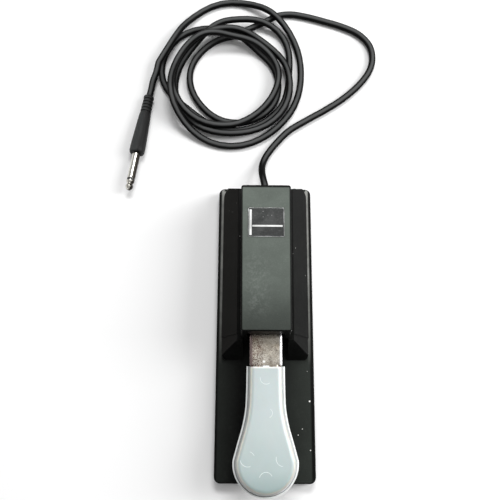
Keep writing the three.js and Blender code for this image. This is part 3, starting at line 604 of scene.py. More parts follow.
def make_looks():
    look("black_plastic", ((0.0035, 0.0036, 0.0034), (0.0065, 0.0068, 0.0063)), (0.32, 0.45), mottle=22,
         grain=(2600, 0.25, 0.00006), dust=(160, 0.05, (0.35, 0.35, 0.34)),
         fine=(420, 0.3, (0.014, 0.015, 0.014)), Specular_IOR_Level=0.04)
    make_film_and_light()
    # Painted shade on the left shoulder's slope, which faces away from the right light.
    paint_light_by_facing("black_plastic", (-0.81, 0, 0.58), [(0.9, 0.0), (0.98, 0.75)], SHADE_COLOUR)
    # Painted shade on surfaces that lean up towards the back.
    paint_light_by_facing("black_plastic", (0, 0.6, 0.8), [(0.93, 0.0), (0.97, 0.9)], SHADE_COLOUR)
    look("black_rubber", ((0.005, 0.005, 0.005), (0.009, 0.009, 0.009)), (0.42, 0.56), mottle=30,
         grain=(1800, 0.3, 0.00008), dust=(220, 0.05, (0.2, 0.2, 0.19)), Specular_IOR_Level=0.2)
    # Painted highlight on rubber surfaces that face up and a little to the left, as along the plug's grip.
    paint_light_by_facing("black_rubber", (-0.45, -0.2, 0.87), [(0.78, 0.0), (1.0, 0.75)], (0.06, 0.064, 0.064))
    look("cord_rubber", ((0.003, 0.003, 0.003), (0.006, 0.006, 0.006)), (0.34, 0.46), mottle=40,
         grain=(1500, 0.2, 0.00006), fine=(260, 0.4, (0.01, 0.01, 0.01)), Specular_IOR_Level=0.03)
    # Painted highlight along the upper middle of the lead, leaving its sides dark.
    paint_light_by_facing("cord_rubber", (0, -0.18, 0.98), [(0.8, 0.0), (0.99, 1.0)], (0.086, 0.088, 0.088))
    look("lever_nickel", ((0.44, 0.39, 0.31), (0.80, 0.76, 0.67)), (0.2, 0.34), 1.0, mottle=90,
         grain=(900, 0.25, 0.00006), fine=(1100, 0.85, (0.16, 0.115, 0.08)))
    make_stains_and_edge_light()
    look("plug_nickel", ((0.70, 0.68, 0.62), (0.90, 0.89, 0.84)), (0.18, 0.28), 1.0, mottle=90,
         grain=(900, 0.04, 0.00002), fine=(600, 0.3, (0.45, 0.38, 0.26)))
    # Painted reflection: the plug's metal darkens where it turns away from straight up and a little left, in
    # place of dark surroundings it would mirror.
    paint_light_by_facing("plug_nickel", (-0.4, -0.25, 0.88), [(0.0, 1.0), (0.62, 0.97), (0.8, 0.0)],
              (0.03, 0.026, 0.02))
    look("steel", ((0.50, 0.51, 0.52), (0.64, 0.65, 0.66)), (0.25, 0.42), 1.0, mottle=60,
         grain=(700, 0.15, 0.00004), stretch=(1, 0.15, 1), fine=(500, 0.4, (0.3, 0.3, 0.3)))
    look("dark_steel", ((0.15, 0.155, 0.16), (0.26, 0.265, 0.27)), (0.3, 0.5), 1.0, mottle=80,
         grain=(900, 0.2, 0.00004), fine=(400, 0.5, (0.07, 0.06, 0.05)))
    look("brass", ((0.62, 0.43, 0.16), (0.74, 0.55, 0.25)), (0.25, 0.4), 1.0, mottle=90,
         grain=(800, 0.15, 0.00004), fine=(500, 0.4, (0.3, 0.18, 0.07)))
    look("nylon", ((0.72, 0.70, 0.63), (0.82, 0.80, 0.74)), (0.38, 0.5), mottle=40,
         grain=(1500, 0.15, 0.00005), Subsurface_Weight=0.1, Subsurface_Scale=0.002)
    look("switch_plastic", ((0.035, 0.022, 0.016), (0.055, 0.036, 0.027)), (0.4, 0.55), mottle=60,
         grain=(1800, 0.25, 0.00005))
    look("red_plastic", ((0.34, 0.03, 0.02), (0.45, 0.045, 0.03)), (0.3, 0.42), mottle=60,
         grain=(1500, 0.1, 0.00004))
    look("insulator", ((0.008, 0.008, 0.008), (0.014, 0.014, 0.014)), (0.28, 0.4), mottle=50,
         grain=(1600, 0.15, 0.00004))
    look("badge", ((0.006, 0.007, 0.007), (0.014, 0.017, 0.016)), (0.3, 0.42), mottle=60,
         grain=(500, 0.08, 0.00004), fine=(700, 0.35, (0.07, 0.075, 0.07)),
         dust=(260, 0.07, (0.4, 0.4, 0.4)), Specular_IOR_Level=0.15)
    look("badge_frame", ((0.16, 0.165, 0.16), (0.36, 0.37, 0.365)), (0.4, 0.5), 1.0, mottle=160,
         grain=(900, 0.15, 0.00004), fine=(600, 0.7, (0.05, 0.05, 0.05)))
    look("badge_print", ((0.50, 0.51, 0.50), (0.82, 0.83, 0.82)), (0.4, 0.5), mottle=150,
         grain=(900, 0.1, 0.00003))
    # The cover's near-white lip, also used as a painted highlight on the cover's back edge.
    look("cover_rim", ((0.88, 0.91, 0.90), (0.93, 0.94, 0.93)), (0.2, 0.3), mottle=60,
         grain=(900, 0.1, 0.00004), Coat_Weight=0.3)
    look("speck", ((0.78, 0.78, 0.75), (0.93, 0.93, 0.9)), (0.4, 0.6), mottle=400)
    # Pale colour for the marks' arcs: painted highlights.
    look("cover_mark", ((0.80, 0.85, 0.84), (0.85, 0.89, 0.88)), (0.25, 0.35), mottle=60,
         grain=(900, 0.1, 0.00004))
    make_cover_look()


def cover_side(tree, coords, x, rise, lengthwise):
    """Painted shade dark at its foot and darker at the tip, a painted highlight at the rounded edge above,
    and painted light making it paler on its right.
    """
    side = ramp(tree, rise, [
        (0.0, (0.18, 0.185, 0.18)), (0.06, (0.30, 0.31, 0.30)), (0.3, (0.40, 0.42, 0.41)),
        (0.72, (0.40, 0.42, 0.41)), (0.82, (0.50, 0.51, 0.48)), (0.88, (0.84, 0.84, 0.74)),
        (0.93, (0.80, 0.82, 0.74))])
    smears = ramp(tree, noise(tree, coords, 200, 4, 0.6, 0.4), [(0.3, 0.82), (0.7, 1.0)])
    at_tip = ramp(tree, lengthwise, [(0.0, 0.45), (0.1, 0.6), (0.3, 0.95), (0.5, 1.0)])
    right = product(tree, fade(tree, x, 0, 100 / 3, [(0.1, 0.0), (0.4, 0.75)]),
                    ramp(tree, rise, [(0.78, 1.0), (0.86, 0.0)]))
    return mix(tree, right, product(tree, side, smears, at_tip), (0.63, 0.645, 0.64))


def cover_face(tree, plain, lengthwise):
    """The pale top, with painted shade greying it towards the tip and a painted highlight along its back
    edge.
    """
    along = ramp(tree, lengthwise, [
        (0.0, (0.42, 0.50, 0.48)), (0.1, (0.62, 0.69, 0.68)), (0.22, (0.81, 0.85, 0.84)),
        (0.5, (0.93, 0.94, 0.93)), (1.0, 0.94)])
    pale = mix(tree, 1.0, plain, along, "MULTIPLY")
    return mix(tree, ramp(tree, lengthwise, [(0.984, 0.0), (0.99, 0.8)]), pale, (0.92, 0.93, 0.90))


def make_cover_look():
    """Milky plastic: pale on top, with a painted highlight at the top's rounded edge and painted shade down
    its thin sides and towards its tip.
    """
    look("cover_plastic", ((0.54, 0.61, 0.61), (0.60, 0.67, 0.675)), (0.3, 0.42), mottle=18,
         grain=(900, 0.12, 0.00005), Subsurface_Weight=0.1, Subsurface_Scale=0.003, Coat_Weight=0.12,
         Coat_Roughness=0.2)
    tree, target, plain = base_colour("cover_plastic")
    coords, x, y, z = places(tree)
    fall = calculate(tree, "MULTIPLY_ADD", y, SPOON_SLOPE, -SPOON_SLOPE * SPOON_BACK * MM)
    rise = between(tree, calculate(tree, "SUBTRACT", z, fall), COVER_BAND, COVER_TOP)
    lengthwise = calculate(tree, "MULTIPLY_ADD", y, *COVER_LENGTHWISE)
    side = cover_side(tree, coords, x, rise, lengthwise)
    face = cover_face(tree, plain, lengthwise)
    tree.links.new(mix(tree, ramp(tree, rise, [(0.93, 0.0), (0.975, 1.0)]), side, face), target)


# ------------------------------ base and mat
FLOOR_TOP = 10.3  # where everything that stands on the base starts
BASE_HALF = (36, 111)
BASE_CORNER = 4.5
BASE_SCREWS = [(x, y) for y in (8, 92) for x in (-25.5, 25.5)]
BALLAST_SCREWS = [(0, -70), (0, 70)]
BRACKET_SCREWS = [(x, y) for y in (35, 49) for x in (-18, 18)]
CLAMP_SCREWS = [(-7.8, 100), (7.8, 100)]
SWITCH_SCREWS = [65.75, 75.25]
BASE_BOTTOM, BASE_TOP, BASE_ROOF = 2.3, 10, 7
BASE_PILLAR, SCREW_HOLE = 4.5, 1.6
GROOVE_PITCH = 16
# White chips on the right of the base: x, y, radius.
BASE_SPECKS = [(32.4, -54, 0.6), (26.9, -73.5, 0.3), (23.8, -77.7, 0.3), (32.4, -88.2, 0.4)]
HOLE_SIDES = 24


def soft_slab(half, corner, low, high, edge, parts=4):
    """A slab with rounded corners and rounded top and bottom edges."""
    steps = [radians(90 * i / parts) for i in range(parts + 1)]
    levels = [(edge * (1 - sin(t)), low + edge * (1 - cos(t))) for t in steps]
    levels += [(edge * (1 - sin(t)), high - edge * (1 - cos(t))) for t in reversed(steps)]
    return loft([[(x, y, z) for x, y in rounded(half[0] - inset, half[1] - inset, corner - inset)]
                 for inset, z in levels])


def make_mat():
    mat = soft_slab(BASE_HALF, BASE_CORNER, 0, 2, 0.4)
    grooves = []
    for i in range(6):
        for side in (-1, 1):
            y = side * ((i + 0.5) * GROOVE_PITCH + 2)
            grooves.append(box((-30, 30), (y - 1, y + 1), (-1, 0.8)))
    holes = [pin(x, y, 4.2, -1, 3, sides=40) for x, y in BASE_SCREWS]
    mat = soften(cut(mat, *grooves, *holes), 0.25, 2, 50)
    piece(mat, "mat_skin", "root", "black_rubber", "rubber_mat")


def make_base():
    plate = soft_slab(BASE_HALF, BASE_CORNER, BASE_BOTTOM, BASE_TOP, 1.0, 5)
    hollow = prism(rounded(BASE_HALF[0] - 2.6, BASE_HALF[1] - 2.6, 2), 0, BASE_ROOF)
    pillars = [pin(x, y, BASE_PILLAR, 4.9, 9) for x, y in BASE_SCREWS]
    posts = [pin(0, -2, 4, 9, 31), pin(0, 87, 3.4, 9, 27), box((-5.7, -3.7), (60, 81), (9, 27)),
             box((-8, -5.5), (62, 64), (9, 22)), box((-8, -5.5), (77, 79), (9, 22))]
    through = BASE_SCREWS + BRACKET_SCREWS + CLAMP_SCREWS
    holes = [pin(x, y, SCREW_HOLE, 0, 12, sides=HOLE_SIDES) for x, y in through]
    holes += [pin(x, y, SCREW_HOLE, 0, 9.3, sides=HOLE_SIDES) for x, y in BALLAST_SCREWS]
    holes += [pin(y, 20, 1.4, -9, 0, "x", HOLE_SIDES) for y in SWITCH_SCREWS]
    base = cut(join(cut(plate, hollow), *pillars, *posts), *holes)
    piece(base, "base_skin", "root", "black_plastic", "base_plate")
    chips = [pin(x, y, radius, BASE_TOP - 0.1, BASE_TOP + 0.15, sides=10) for x, y, radius in BASE_SPECKS]
    piece(join(*chips), "base_specks", "root", "speck")


# ------------------------------ housing
WALL = 2.2
BODY_HALF, BODY_FRONT, BODY_BACK = 32, -9, 108.5
RIDGE_BACK, RIDGE_TOP = 102, 33
BLOCK_HALF, BLOCK_FRONT, BLOCK_BACK = 18.25, -11.6, 98.4
BLOCK_NARROWING = 0.8 / BLOCK_HALF  # the block is narrower at its front by this share
BLOCK_TOP = 58
BLOCK_SLOPE = -8 / (BLOCK_BACK - BLOCK_FRONT)
BLOCK_ROOF = 2.4  # the thickness of its top
HOOD_RADIUS, HOOD_WALL, HOOD_Z = 7, 1.4, 13.8
SKIRT_TOP = 17  # where the housing's sides and back start to lean in
NOSE_HALF, NOSE_FRONT = 31.4, -24.5
SLOT_HALF = 16.3
BOSS_RADIUS, BOSS_TOP = 3.6, 20.5
CORD_Z, CORD_HOLE = 14.6, 4.05
POLARITY_X, POLARITY_Z = 17, 13.9
POLARITY_SCREWS = [11, 23]
BADGE_HALF, BADGE_Y = (13, 11.3), 68.5
# On the name plate: centre x, half width, centre y, half height, height above the block.
BADGE_PRINT = {"bar": (0.9, 10.9, 65.6, 0.65, 0.12), "edge": (-11.2, 0.8, 68.4, 10.0, 0.14)}
BACK_WALL = (104, 112)  # a span along y that goes right through the back wall


def body_section(inset):
    half, ridge = BODY_HALF - inset, 20.5 - 0.45 * inset
    skirt, top = SKIRT_TOP - 0.35 * inset, RIDGE_TOP - inset
    low = 0 if inset >= WALL else FLOOR_TOP
    return [(-half, low), (half, low), (half, skirt), (ridge, top), (-ridge, top), (-half, skirt)]


def lower_body(inset, front):
    """The sides and the back lean in above the skirt, up to the flat ridge that the block stands on."""
    half, back = BODY_HALF - inset, BODY_BACK - inset
    low = 0 if inset >= WALL else FLOOR_TOP
    plan = ([(-half, front), (half, front)] + arc((half - 9, back - 8), (9, 8), 0, 90, 14)
            + arc((9 - half, back - 8), (9, 8), 90, 180, 14))
    top = RIDGE_TOP - inset
    profile = [(front, low), (back, low), (back, SKIRT_TOP - 0.35 * inset), (RIDGE_BACK - 0.45 * inset, top),
               (front, top)]
    section = prism(body_section(inset), front, BODY_BACK, "y")
    return keep(section, prism(plan, -1, RIDGE_TOP + 1), prism(profile, -BODY_HALF, BODY_HALF, "x"))


def hood_solid(inset):
    """The round-topped hood over the lead's exit."""
    radius = HOOD_RADIUS - inset
    low = 0 if inset else FLOOR_TOP
    outline = [(-radius, low), (radius, low)] + arc((0, HOOD_Z), radius, 0, 180, 28)
    return prism(outline, 94, BODY_BACK - (WALL if inset else 0), "y")


def block_solid(inset):
    half = BLOCK_HALF - inset
    top = BLOCK_TOP - (BLOCK_ROOF if inset else 0)
    front, back = BLOCK_FRONT + inset, BLOCK_BACK - inset
    plan = rounded(half, (back - front) / 2, 2, (front + back) / 2)
    blank = prism(plan, FLOOR_TOP + 9, top)
    for vertex in blank.data.vertices:
        if vertex.co.z > 40:
            vertex.co.z += BLOCK_SLOPE * (vertex.co.y - BLOCK_FRONT)
    if not inset:
        blank = soften(blank, 1.3, 5, 40)
    for vertex in blank.data.vertices:
        share = (BLOCK_BACK - vertex.co.y) / (BLOCK_BACK - BLOCK_FRONT)
        vertex.co.x *= 1 - BLOCK_NARROWING * share
    return blank


def nose_solid(inset):
    """The two cheeks beside the lever are one hipped nose that a slot is cut through."""
    half, front = NOSE_HALF - inset, NOSE_FRONT + inset
    low = 0 if inset else FLOOR_TOP
    top = RIDGE_TOP - inset
    profile = [(front, low), (0, low), (0, top), (-13 + 0.6 * inset, top), (-21.5 + inset, SKIRT_TOP)]
    plan = rounded(half, 20, 3, front + 20)
    return keep(prism(profile, -half, half, "x"), prism(body_section(0.6 + inset), -30, 5, "y"),
                prism(plan, -1, 40))


def on_slope(plan, low, high):
    """An outline drawn out between two heights above the block's sloping top."""
    return shear(prism(plan, BLOCK_TOP + low, BLOCK_TOP + high), BLOCK_SLOPE, BLOCK_FRONT)


def badge_blank(grow, low, high):
    return on_slope(rounded(BADGE_HALF[0] + grow, BADGE_HALF[1] + grow, 1 + grow, BADGE_Y), low, high)


def make_housing():
    slot = box((-SLOT_HALF, SLOT_HALF), (-40, BLOCK_FRONT), (0, 70))
    nose = soften(cut(nose_solid(0), slot), 0.7, 3, 25)
    centre = box((-18.5, 18.5), (BLOCK_FRONT, BODY_FRONT + 1), (FLOOR_TOP, RIDGE_TOP))
    hood = soften(hood_solid(0), 0.6, 3, 40)
    outer = join(soften(lower_body(0, BODY_FRONT), 0.8, 3, 25), block_solid(0), nose, hood, centre)
    rooms = [keep(nose_solid(WALL), box(span, (-30, 5), (0, 40))) for span in ((18.5, 30), (-30, -18.5))]
    inner = join(lower_body(WALL, BODY_FRONT - 0.4), block_solid(WALL), hood_solid(HOOD_WALL), *rooms)
    shell = cut(outer, inner)
    bosses = [pin(x, y, BOSS_RADIUS, FLOOR_TOP, BOSS_TOP) for x, y in BASE_SCREWS]
    holes = [pin(x, y, SCREW_HOLE, 0, BOSS_TOP - 1.5, sides=HOLE_SIDES) for x, y in BASE_SCREWS]
    lever_window = box((-13.2, 13.2), (BLOCK_FRONT - 2, BODY_FRONT + 1), (25, 47.5))
    slider_window = box((POLARITY_X - 4.6, POLARITY_X + 4.6), BACK_WALL, (POLARITY_Z - 2, POLARITY_Z + 2))
    holes += [
        soften(lever_window, 0.6, 3),
        pin(0, CORD_Z, CORD_HOLE, *BACK_WALL, "y", 48),
        box((-CORD_HOLE, CORD_HOLE), BACK_WALL, (0, CORD_Z)),
        soften(slider_window, 0.5, 3),
        badge_blank(0.3, -0.8, 2)]
    holes += [pin(x, POLARITY_Z, 1.1, *BACK_WALL, "y", HOLE_SIDES) for x in POLARITY_SCREWS]
    shell = cut(join(shell, *bosses), *holes)
    piece(shell, "housing_skin", "root", "black_plastic", "housing_shell", sharp=30)


def make_badge():
    """A dark plate in a thin bright frame, with a light strip at its left and a bar across it."""
    piece(badge_blank(0, -0.8, 0.05), "badge_face", "root", "badge", "badge_plate")
    opening = on_slope(rounded(BADGE_HALF[0] - 0.35, BADGE_HALF[1] - 0.35, 0.6, BADGE_Y), -8, 12)
    frame_ring = cut(badge_blank(0, -0.2, 0.3), opening)
    piece(soften(frame_ring, 0.12, 2, 50), "badge_frame", "root", "badge_frame")
    for name, (centre_x, half_x, centre_y, half_y, high) in BADGE_PRINT.items():
        plan = [(x + centre_x, y) for x, y in rounded(half_x, half_y, 0.3, centre_y)]
        piece(on_slope(plan, -0.1, high), f"badge_{name}", "root", "badge_print")


# ------------------------------ lever and cover
SPOON_BACK = -34  # where the cover starts, and how it rises from its tip to there
SPOON_SLOPE = 3 / 86
COVER_TOP = 45.6
COVER_LIP = 34.6  # the height of the thin lip round the foot of the cover
COVER_BAND = 34.1  # the foot of the cover's shaded side
COVER_LENGTHWISE = (11.5, 1.39)  # factor and offset that make y 0 at the cover's tip and 1 at its back
SKIRT_BACK = 2
DISC_Y, DISC_RADIUS = -97.5, 22.5
LEVER_TOP, LEVER_BOTTOM = 44, 34
FLANK = [(13.4, -34), (13.6, -50), (14.2, -62), (16.2, -73), (19.3, -84)]
DISC_START = 0.09
# How far each level of a section is drawn in from the outline, from the bottom to the top.
COVER_OUTSIDE = [(0.15, 32.5), (0, 32.7), (0, 34.5), (0.2, 34.85), (1.0, 34.85), (1.15, 34.7), (1.25, 34.4),
                 (1.4, 34.4), (1.55, 34.9), (1.75, 37), (2.0, 40), (2.3, 42.0), (2.6, 43.0), (3.0, 43.9),
                 (3.5, 44.6), (4.2, 45.15), (5.0, 45.45), (5.8, COVER_TOP)]
COVER_INSIDE = [(1.5, 30), (1.5, 33.2), (2.2, 34.2), (2.9, 40), (3.4, 42.2), (4.3, 43.6), (5.4, 44.2),
                (6.6, 44.3)]
SPOON_OUTSIDE = [(2.3, LEVER_BOTTOM), (4.2, 41.8), (4.8, 43.1), (5.8, 43.8), (6.8, LEVER_TOP)]
SPOON_INSIDE = [(4.9, 30), (4.9, LEVER_BOTTOM), (6.8, 41)]
# Shallow round marks on the cover: x, y, radius, and the two angles between which the edge stands out. Only
# these arcs, where the edge catches the light, are drawn, in a pale colour: real marks with painted
# highlights.
MARKS = [(0, -41.7, 4.0, 150, 330), (1.2, -64.9, 3.1, -90, 80), (-12.2, -94.7, 4.9, 180, 310),
         (-12.2, -94.7, 4.9, 20, 80), (11.6, -94.3, 4.9, 150, 280), (0, -107.3, 4.4, 0, 190)]
MARK_RADIUS, MARK_SINK, MARK_STEPS = 0.2, 0.12, 40
PIVOT_Y, PIVOT_Z, PIVOT_BORE, PIVOT_BULGE = 42, 34, 4, 8
LEVER_HALF, TAIL_HALF, TAIL_END = 11.2, 10, 91
LEVER_CHIP = (-1.4, -30.3, 0.9)  # a white chip on the neck: x, y, radius


def spoon_plan(inset, back):
    """The flank runs straight along the neck and swells into the round end."""
    join_at = (DISC_RADIUS * cos(DISC_START), DISC_Y + DISC_RADIUS * sin(DISC_START))
    flank = catmull([(x, y, 0) for x, y in FLANK + [join_at]], 8)[:, :2]
    end = arc((0, DISC_Y), DISC_RADIUS, degrees(DISC_START), -90, 34)
    right = np.array([tuple(p) for p in flank] + end[1:])
    along = np.gradient(right, axis=0)
    along /= np.linalg.norm(along, axis=1)[:, None]
    inward = np.column_stack([along[:, 1], -along[:, 0]])
    right = right + inset * inward
    right[0, 1] = back
    right[-1, 0] = 0
    left = right[:-1][::-1] * [-1, 1]
    return [tuple(p) for p in right] + [tuple(p) for p in left]


def spoon_solid(levels, back):
    return loft([[(x, y, z) for x, y in spoon_plan(inset, back)] for inset, z in levels])


def make_cover():
    """The sides reach a little further back than the top, which has a small tab in the middle."""
    shell = spoon_solid(COVER_OUTSIDE, SPOON_BACK + SKIRT_BACK)
    hollow = spoon_solid(COVER_INSIDE, SPOON_BACK + 3)
    behind = prism([(SPOON_BACK, COVER_TOP + 1), (SPOON_BACK, COVER_TOP), (SPOON_BACK + SKIRT_BACK, 32.5),
                    (SPOON_BACK + 5, 30), (SPOON_BACK + 5, COVER_TOP + 1)], -20, 20, "x")
    tab = soften(box((-2.2, 2.2), (SPOON_BACK - 1, SPOON_BACK + 0.9), (44.6, COVER_TOP - 0.1)), 0.2, 2)
    cover = join(soften(cut(shell, hollow, behind), 0.22, 3, 55), tab)
    piece(shear(cover, SPOON_SLOPE, SPOON_BACK), "cover_skin", "lever", "cover_plastic", "pedal_cover")
    cover.data.materials.append(looks["cover_rim"])
    for face in cover.data.polygons:
        y = face.center.y / MM
        z = face.center.z / MM - SPOON_SLOPE * (y - SPOON_BACK)
        lip = COVER_LIP < z < COVER_LIP + 0.3 or (z < COVER_LIP and abs(face.normal.z) < 0.3)
        # The faces along the top's back edge get the near-white colour as a painted highlight.
        if lip or (y > SPOON_BACK - 0.35 and z > 42):
            face.material_index = 1
    for i, (x, y, radius, start, end) in enumerate(MARKS, 1):
        path = [(px, py, COVER_TOP + SPOON_SLOPE * (py - SPOON_BACK))
                for px, py in arc((x, y), radius, start, end, MARK_STEPS)]
        mark = tube(path, MARK_RADIUS, 8, sink=MARK_SINK)
        piece(mark, f"cover_mark_{i}", "lever", "cover_mark")


def lever_plan(inset, back):
    """The bar's outline from above: it steps in behind the neck."""
    start, half, narrow = SPOON_BACK + 1, LEVER_HALF - inset, TAIL_HALF - inset
    right = [(half, start), (half, -6), (narrow, 1), (narrow, back)]
    return right + [(-x, y) for x, y in reversed(right)]


def make_lever():
    """A bar with a round bulge at the pivot, a low tail behind it, and a spoon at its front."""
    start = SPOON_BACK + 1
    profile = ([(start, LEVER_BOTTOM), (PIVOT_Y - PIVOT_BULGE, LEVER_BOTTOM)]
               + arc((PIVOT_Y, PIVOT_Z), PIVOT_BULGE, 180, 360, 24)
               + [(PIVOT_Y + 11, 39), (58, 41), (66.5, 33.5), (TAIL_END, 33.5), (TAIL_END, 36.5), (68, 36.5),
                  (59, LEVER_TOP), (start, LEVER_TOP)])
    bar = keep(prism(profile, -20, 20, "x"), prism(lever_plan(0, TAIL_END), 10, 60))
    bar = soften(bar, 2.0, 6, 60)
    channel = prism(lever_plan(2.6, 57), 10, LEVER_TOP - 3)
    trims = [box(span, (60, 100), (20, 60)) for span in ((8, 20), (-20, -8))]
    spoon = cut(spoon_solid(SPOON_OUTSIDE, SPOON_BACK + 2), spoon_solid(SPOON_INSIDE, start))
    shear(spoon, SPOON_SLOPE, SPOON_BACK)
    nub = box((-2.2, 2.2), (76, 80), (29.3, 35.5))
    bore = pin(PIVOT_Y, PIVOT_Z, PIVOT_BORE, -30, 30, "x", 48)
    lever = cut(join(cut(bar, channel, *trims), spoon, nub), bore)
    piece(lever, "lever_skin", "lever", "lever_nickel", "pedal_lever")
    chip = pin(*LEVER_CHIP, LEVER_TOP - 0.1, LEVER_TOP + 0.3, sides=10)
    piece(chip, "lever_speck", "lever", "speck")


# ------------------------------ plug, grommet, spring, screws
PLUG_PLACE = (Matrix.Translation((-96.6, 195.6, 4.7)) @ Matrix.Rotation(radians(172), 4, "Z")
              @ Matrix.Rotation(radians(2), 4, "X"))
SLEEVE_RADIUS = 3.175
RIBS, RIB_START, RIB_PITCH, RIB_RADIUS = 5, 3.1, 2.95, 4.1
SPRING_STEPS = 312


def make_plug():
    """Makes the plug's pieces and returns their names."""
    profile = [(0, 0), (2.95, 0), (3.7, 0.25), (4.2, 0.9), (4.35, 1.8), (4.25, 2.6)]
    for i in range(RIBS):
        y, r = RIB_START + RIB_PITCH * i, RIB_RADIUS + 0.08 * i
        profile += [(r, y), (r - 0.75, y + 0.25), (r - 0.75, y + 0.75), (r, y + 1), (r + 0.1, y + 1.5)]
    profile += [(4.75, 18.2), (5.0, 21), (5.25, 26), (5.55, 32), (5.9, 39), (6.15, 45), (6.25, 49),
                (6.2, 51.2), (6.0, 52.4), (5.6, 53.2), (5.0, 53.6), (0, 53.6)]
    piece(lathe(profile, 72), "plug_grip", "root", "black_rubber", "plug_handle", place=PLUG_PLACE, sharp=48)
    sleeve = lathe([(0, 53.9), (3.0, 53.9), (SLEEVE_RADIUS, 54.1), (SLEEVE_RADIUS, 75.8), (3.05, 76.1),
                    (0, 76.1)])
    piece(sleeve, "plug_shaft", "root", "plug_nickel", "plug_sleeve", place=PLUG_PLACE)
    band = lathe([(0, 76.15), (3.0, 76.15), (3.1, 76.25), (3.1, 77.65), (3.0, 77.75), (0, 77.75)])
    piece(band, "plug_band", "root", "insulator", "plug_insulator", place=PLUG_PLACE)
    tip = lathe([(0, 77.8), (3.05, 77.8), (SLEEVE_RADIUS, 77.95), (SLEEVE_RADIUS, 78.9), (3.0, 79.4),
                 (2.4, 80.2), (2.15, 80.8), (2.3, 81.4), (2.85, 82.2), (3.1, 82.8), (3.05, 83.4),
                 (2.7, 84.3), (2.0, 85.3), (1.2, 86.0), (0.6, 86.25), (0, 86.3)])
    piece(tip, "plug_point", "root", "plug_nickel", "plug_tip", place=PLUG_PLACE)
    return ["plug_grip", "plug_shaft", "plug_band", "plug_point"]


def make_cord():
    """The lead and its plug."""
    path = settle(even(route(coil_distances())[0], CORD_STEP))
    cord = tube(path / MM, CORD_RADIUS / MM, 20)
    piece(cord, "cord", "root", "cord_rubber", "cord_lead", "cord_coil", "cord_tail", sharp=60)
    make_plug()


def make_grommet():
    inside = BODY_BACK - WALL - 0.3
    out = BODY_BACK + 0.3
    profile = [(0, inside - 2.4), (4.15, inside - 2.4), (4.3, inside - 2.2), (4.3, inside), (3.75, inside),
               (3.75, out), (3.95, out + 0.05), (4.0, out + 0.3), (3.98, out + 1.0), (3.8, out + 1.45),
               (3.4, out + 1.7), (2.95, out + 1.7), (2.85, out + 1.3), (0, out + 1.3)]
    piece(lathe(profile), "cord_bush", "root", "black_rubber", "cord_grommet",
          place=Matrix.Translation((0, 0, CORD_Z)))


def make_spring():
    """Its coils lie closer together at both ends."""
    bottom, top, radius, wire, turns, centre_y = 13.3, 40.7, 5.2, 0.8, 6.5, 16
    path = []
    for i in range(SPRING_STEPS + 1):
        t = i / SPRING_STEPS
        ease = t - 0.55 * sin(2 * pi * t) / (2 * pi)
        angle = 2 * pi * turns * t
        path.append((radius * cos(angle), centre_y + radius * sin(angle),
                     bottom + wire + (top - bottom - 2 * wire) * ease))
    spring = piece(tube(path, wire, 12), "spring_wire", "root", "dark_steel", "return_spring", sharp=60)
    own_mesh(spring)


def screw(head, height, shank, length):
    """A pan head with a cross in it above z = 0, and its shank below."""
    blank = lathe([(0, -length), (shank * 0.4, -length), (shank, -length + shank), (shank, 0),
                   (head * 0.94, 0), (head, height * 0.12), (head, height * 0.45),
                   (head * 0.9, height * 0.75), (head * 0.7, height * 0.94), (head * 0.4, height),
                   (0, height)], 40)
    blank.data.transform(Matrix.Rotation(pi / 2, 4, "X"))
    reach, width, deep = head * 0.55, head * 0.12, height * 0.35
    cross = [box((-reach, reach), (-width, width), (deep, height + 1)),
             box((-width, width), (-reach, reach), (deep, height + 1))]
    return cut(blank, *cross)


def make_screws():
    """Each set: where its screws are, their head, height, shank and length, and which way they point."""
    down = Matrix.Rotation(pi, 4, "X")
    backward = Matrix.Rotation(-pi / 2, 4, "X")
    sideways = Matrix.Rotation(pi / 2, 4, "Y")
    sets = [
        ("base_screw", [(x, y, 4.6) for x, y in BASE_SCREWS], (3, 1.6, 1.3, 13), down),
        ("ballast_screw", [(x, y, 4.8) for x, y in BALLAST_SCREWS], (2.8, 1.4, 1.3, 4), down),
        ("bracket_screw", [(x, y, FLOOR_TOP + 2.1) for x, y in BRACKET_SCREWS], (3, 1.8, 1.3, 5), Matrix()),
        ("clamp_screw", [(x, y, FLOOR_TOP + 2.3) for x, y in CLAMP_SCREWS], (2.2, 1.4, 1.3, 5), Matrix()),
        ("switch_screw", [(3.7, y, 20) for y in SWITCH_SCREWS], (1.9, 1.2, 1.1, 8.6), sideways),
        ("polarity_screw", [(x, BODY_BACK + 0.3, POLARITY_Z) for x in POLARITY_SCREWS],
         (1.5, 0.9, 0.8, 4.4), backward)]
    for name, spots, sizes, turn in sets:
        for i, at in enumerate(spots, 1):
            place = Matrix.Translation(at) @ turn
            piece(screw(*sizes), f"{name}_head_{i}", "root", "dark_steel", f"{name}_{i}", place=place)


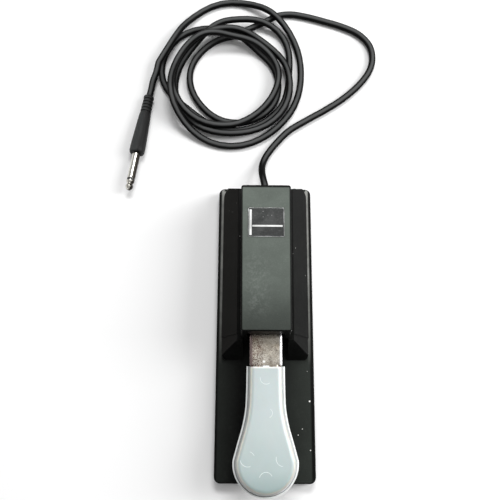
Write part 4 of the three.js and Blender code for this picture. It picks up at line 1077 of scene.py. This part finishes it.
def finish_rest():
    """The pieces inside keep their CAD shape, with their edges rounded and a material each."""
    slots = {part["node"]: part["material_slot"] for part in frame["record"]["subparts"]}
    for name, node in frame["nodes"].items():
        node.data.materials.clear()
        node.data.materials.append(looks[slots[name]])
        node.data.shade_smooth()
        node.data.set_sharp_from_angle(angle=radians(35))
        modifier = node.modifiers.new("soften", "BEVEL")
        modifier.width, modifier.segments = 0.12 * MM, 2
        modifier.limit_method, modifier.angle_limit = "ANGLE", radians(50)


make_looks()
make_mat()
make_base()
make_housing()
make_badge()
make_lever()
make_cover()
make_cord()
make_grommet()
make_spring()
make_screws()
finish_rest()


# ------------------------------ floor and lights
FLOOR_HALF = 3
# Each light: where it is, what it points at, its two sides and its power.
LIGHTS = {"right": ((1.3, 0.2, 1.0), (0, 0.05, 0), (0.7, 1.1), 20),
          "back": ((0.1, 0.88, 1.45), (0, 0.07, 0), (0.7, 0.42), 13)}


def make_stage():
    mesh = bpy.data.meshes.new("floor")
    corners = [(-1, -1), (1, -1), (1, 1), (-1, 1)]
    mesh.from_pydata([(FLOOR_HALF * x, FLOOR_HALF * y, 0) for x, y in corners], [], [range(4)])
    floor = add_object("floor", mesh)
    material = bpy.data.materials.new("floor")
    material.use_nodes = True
    shader = material.node_tree.nodes["Principled BSDF"]
    put(shader, Base_Color=(0.95, 0.95, 0.95, 1), Roughness=0.9, Specular_IOR_Level=0.1)
    mesh.materials.append(material)


def make_lights():
    """A broad soft light high behind the pedal and one from its right, in a pale room."""
    world = bpy.data.worlds.new("world")
    world.use_nodes = True
    tree = world.node_tree
    split = tree.nodes.new("ShaderNodeSeparateXYZ")
    tree.links.new(tree.nodes.new("ShaderNodeTexCoord").outputs["Generated"], split.inputs["Vector"])
    dome = ramp(tree, split.outputs["Z"], [(0.0, 0.9), (0.25, 0.75), (0.6, 0.6), (0.9, 0.75)])
    tree.links.new(dome, tree.nodes["Background"].inputs["Color"])
    put(tree.nodes["Background"], Strength=0.6)
    bpy.context.scene.world = world
    bpy.context.scene.view_settings.view_transform = "Standard"
    for name, (place, aim, size, power) in LIGHTS.items():
        data = bpy.data.lights.new(name, "AREA")
        data.shape = "RECTANGLE"
        data.size, data.size_y = size
        data.energy = power
        light = add_object(name, data)
        light.location = place
        light.rotation_euler = (Vector(aim) - Vector(place)).to_track_quat("-Z", "Y").to_euler()


make_lights()
make_stage()
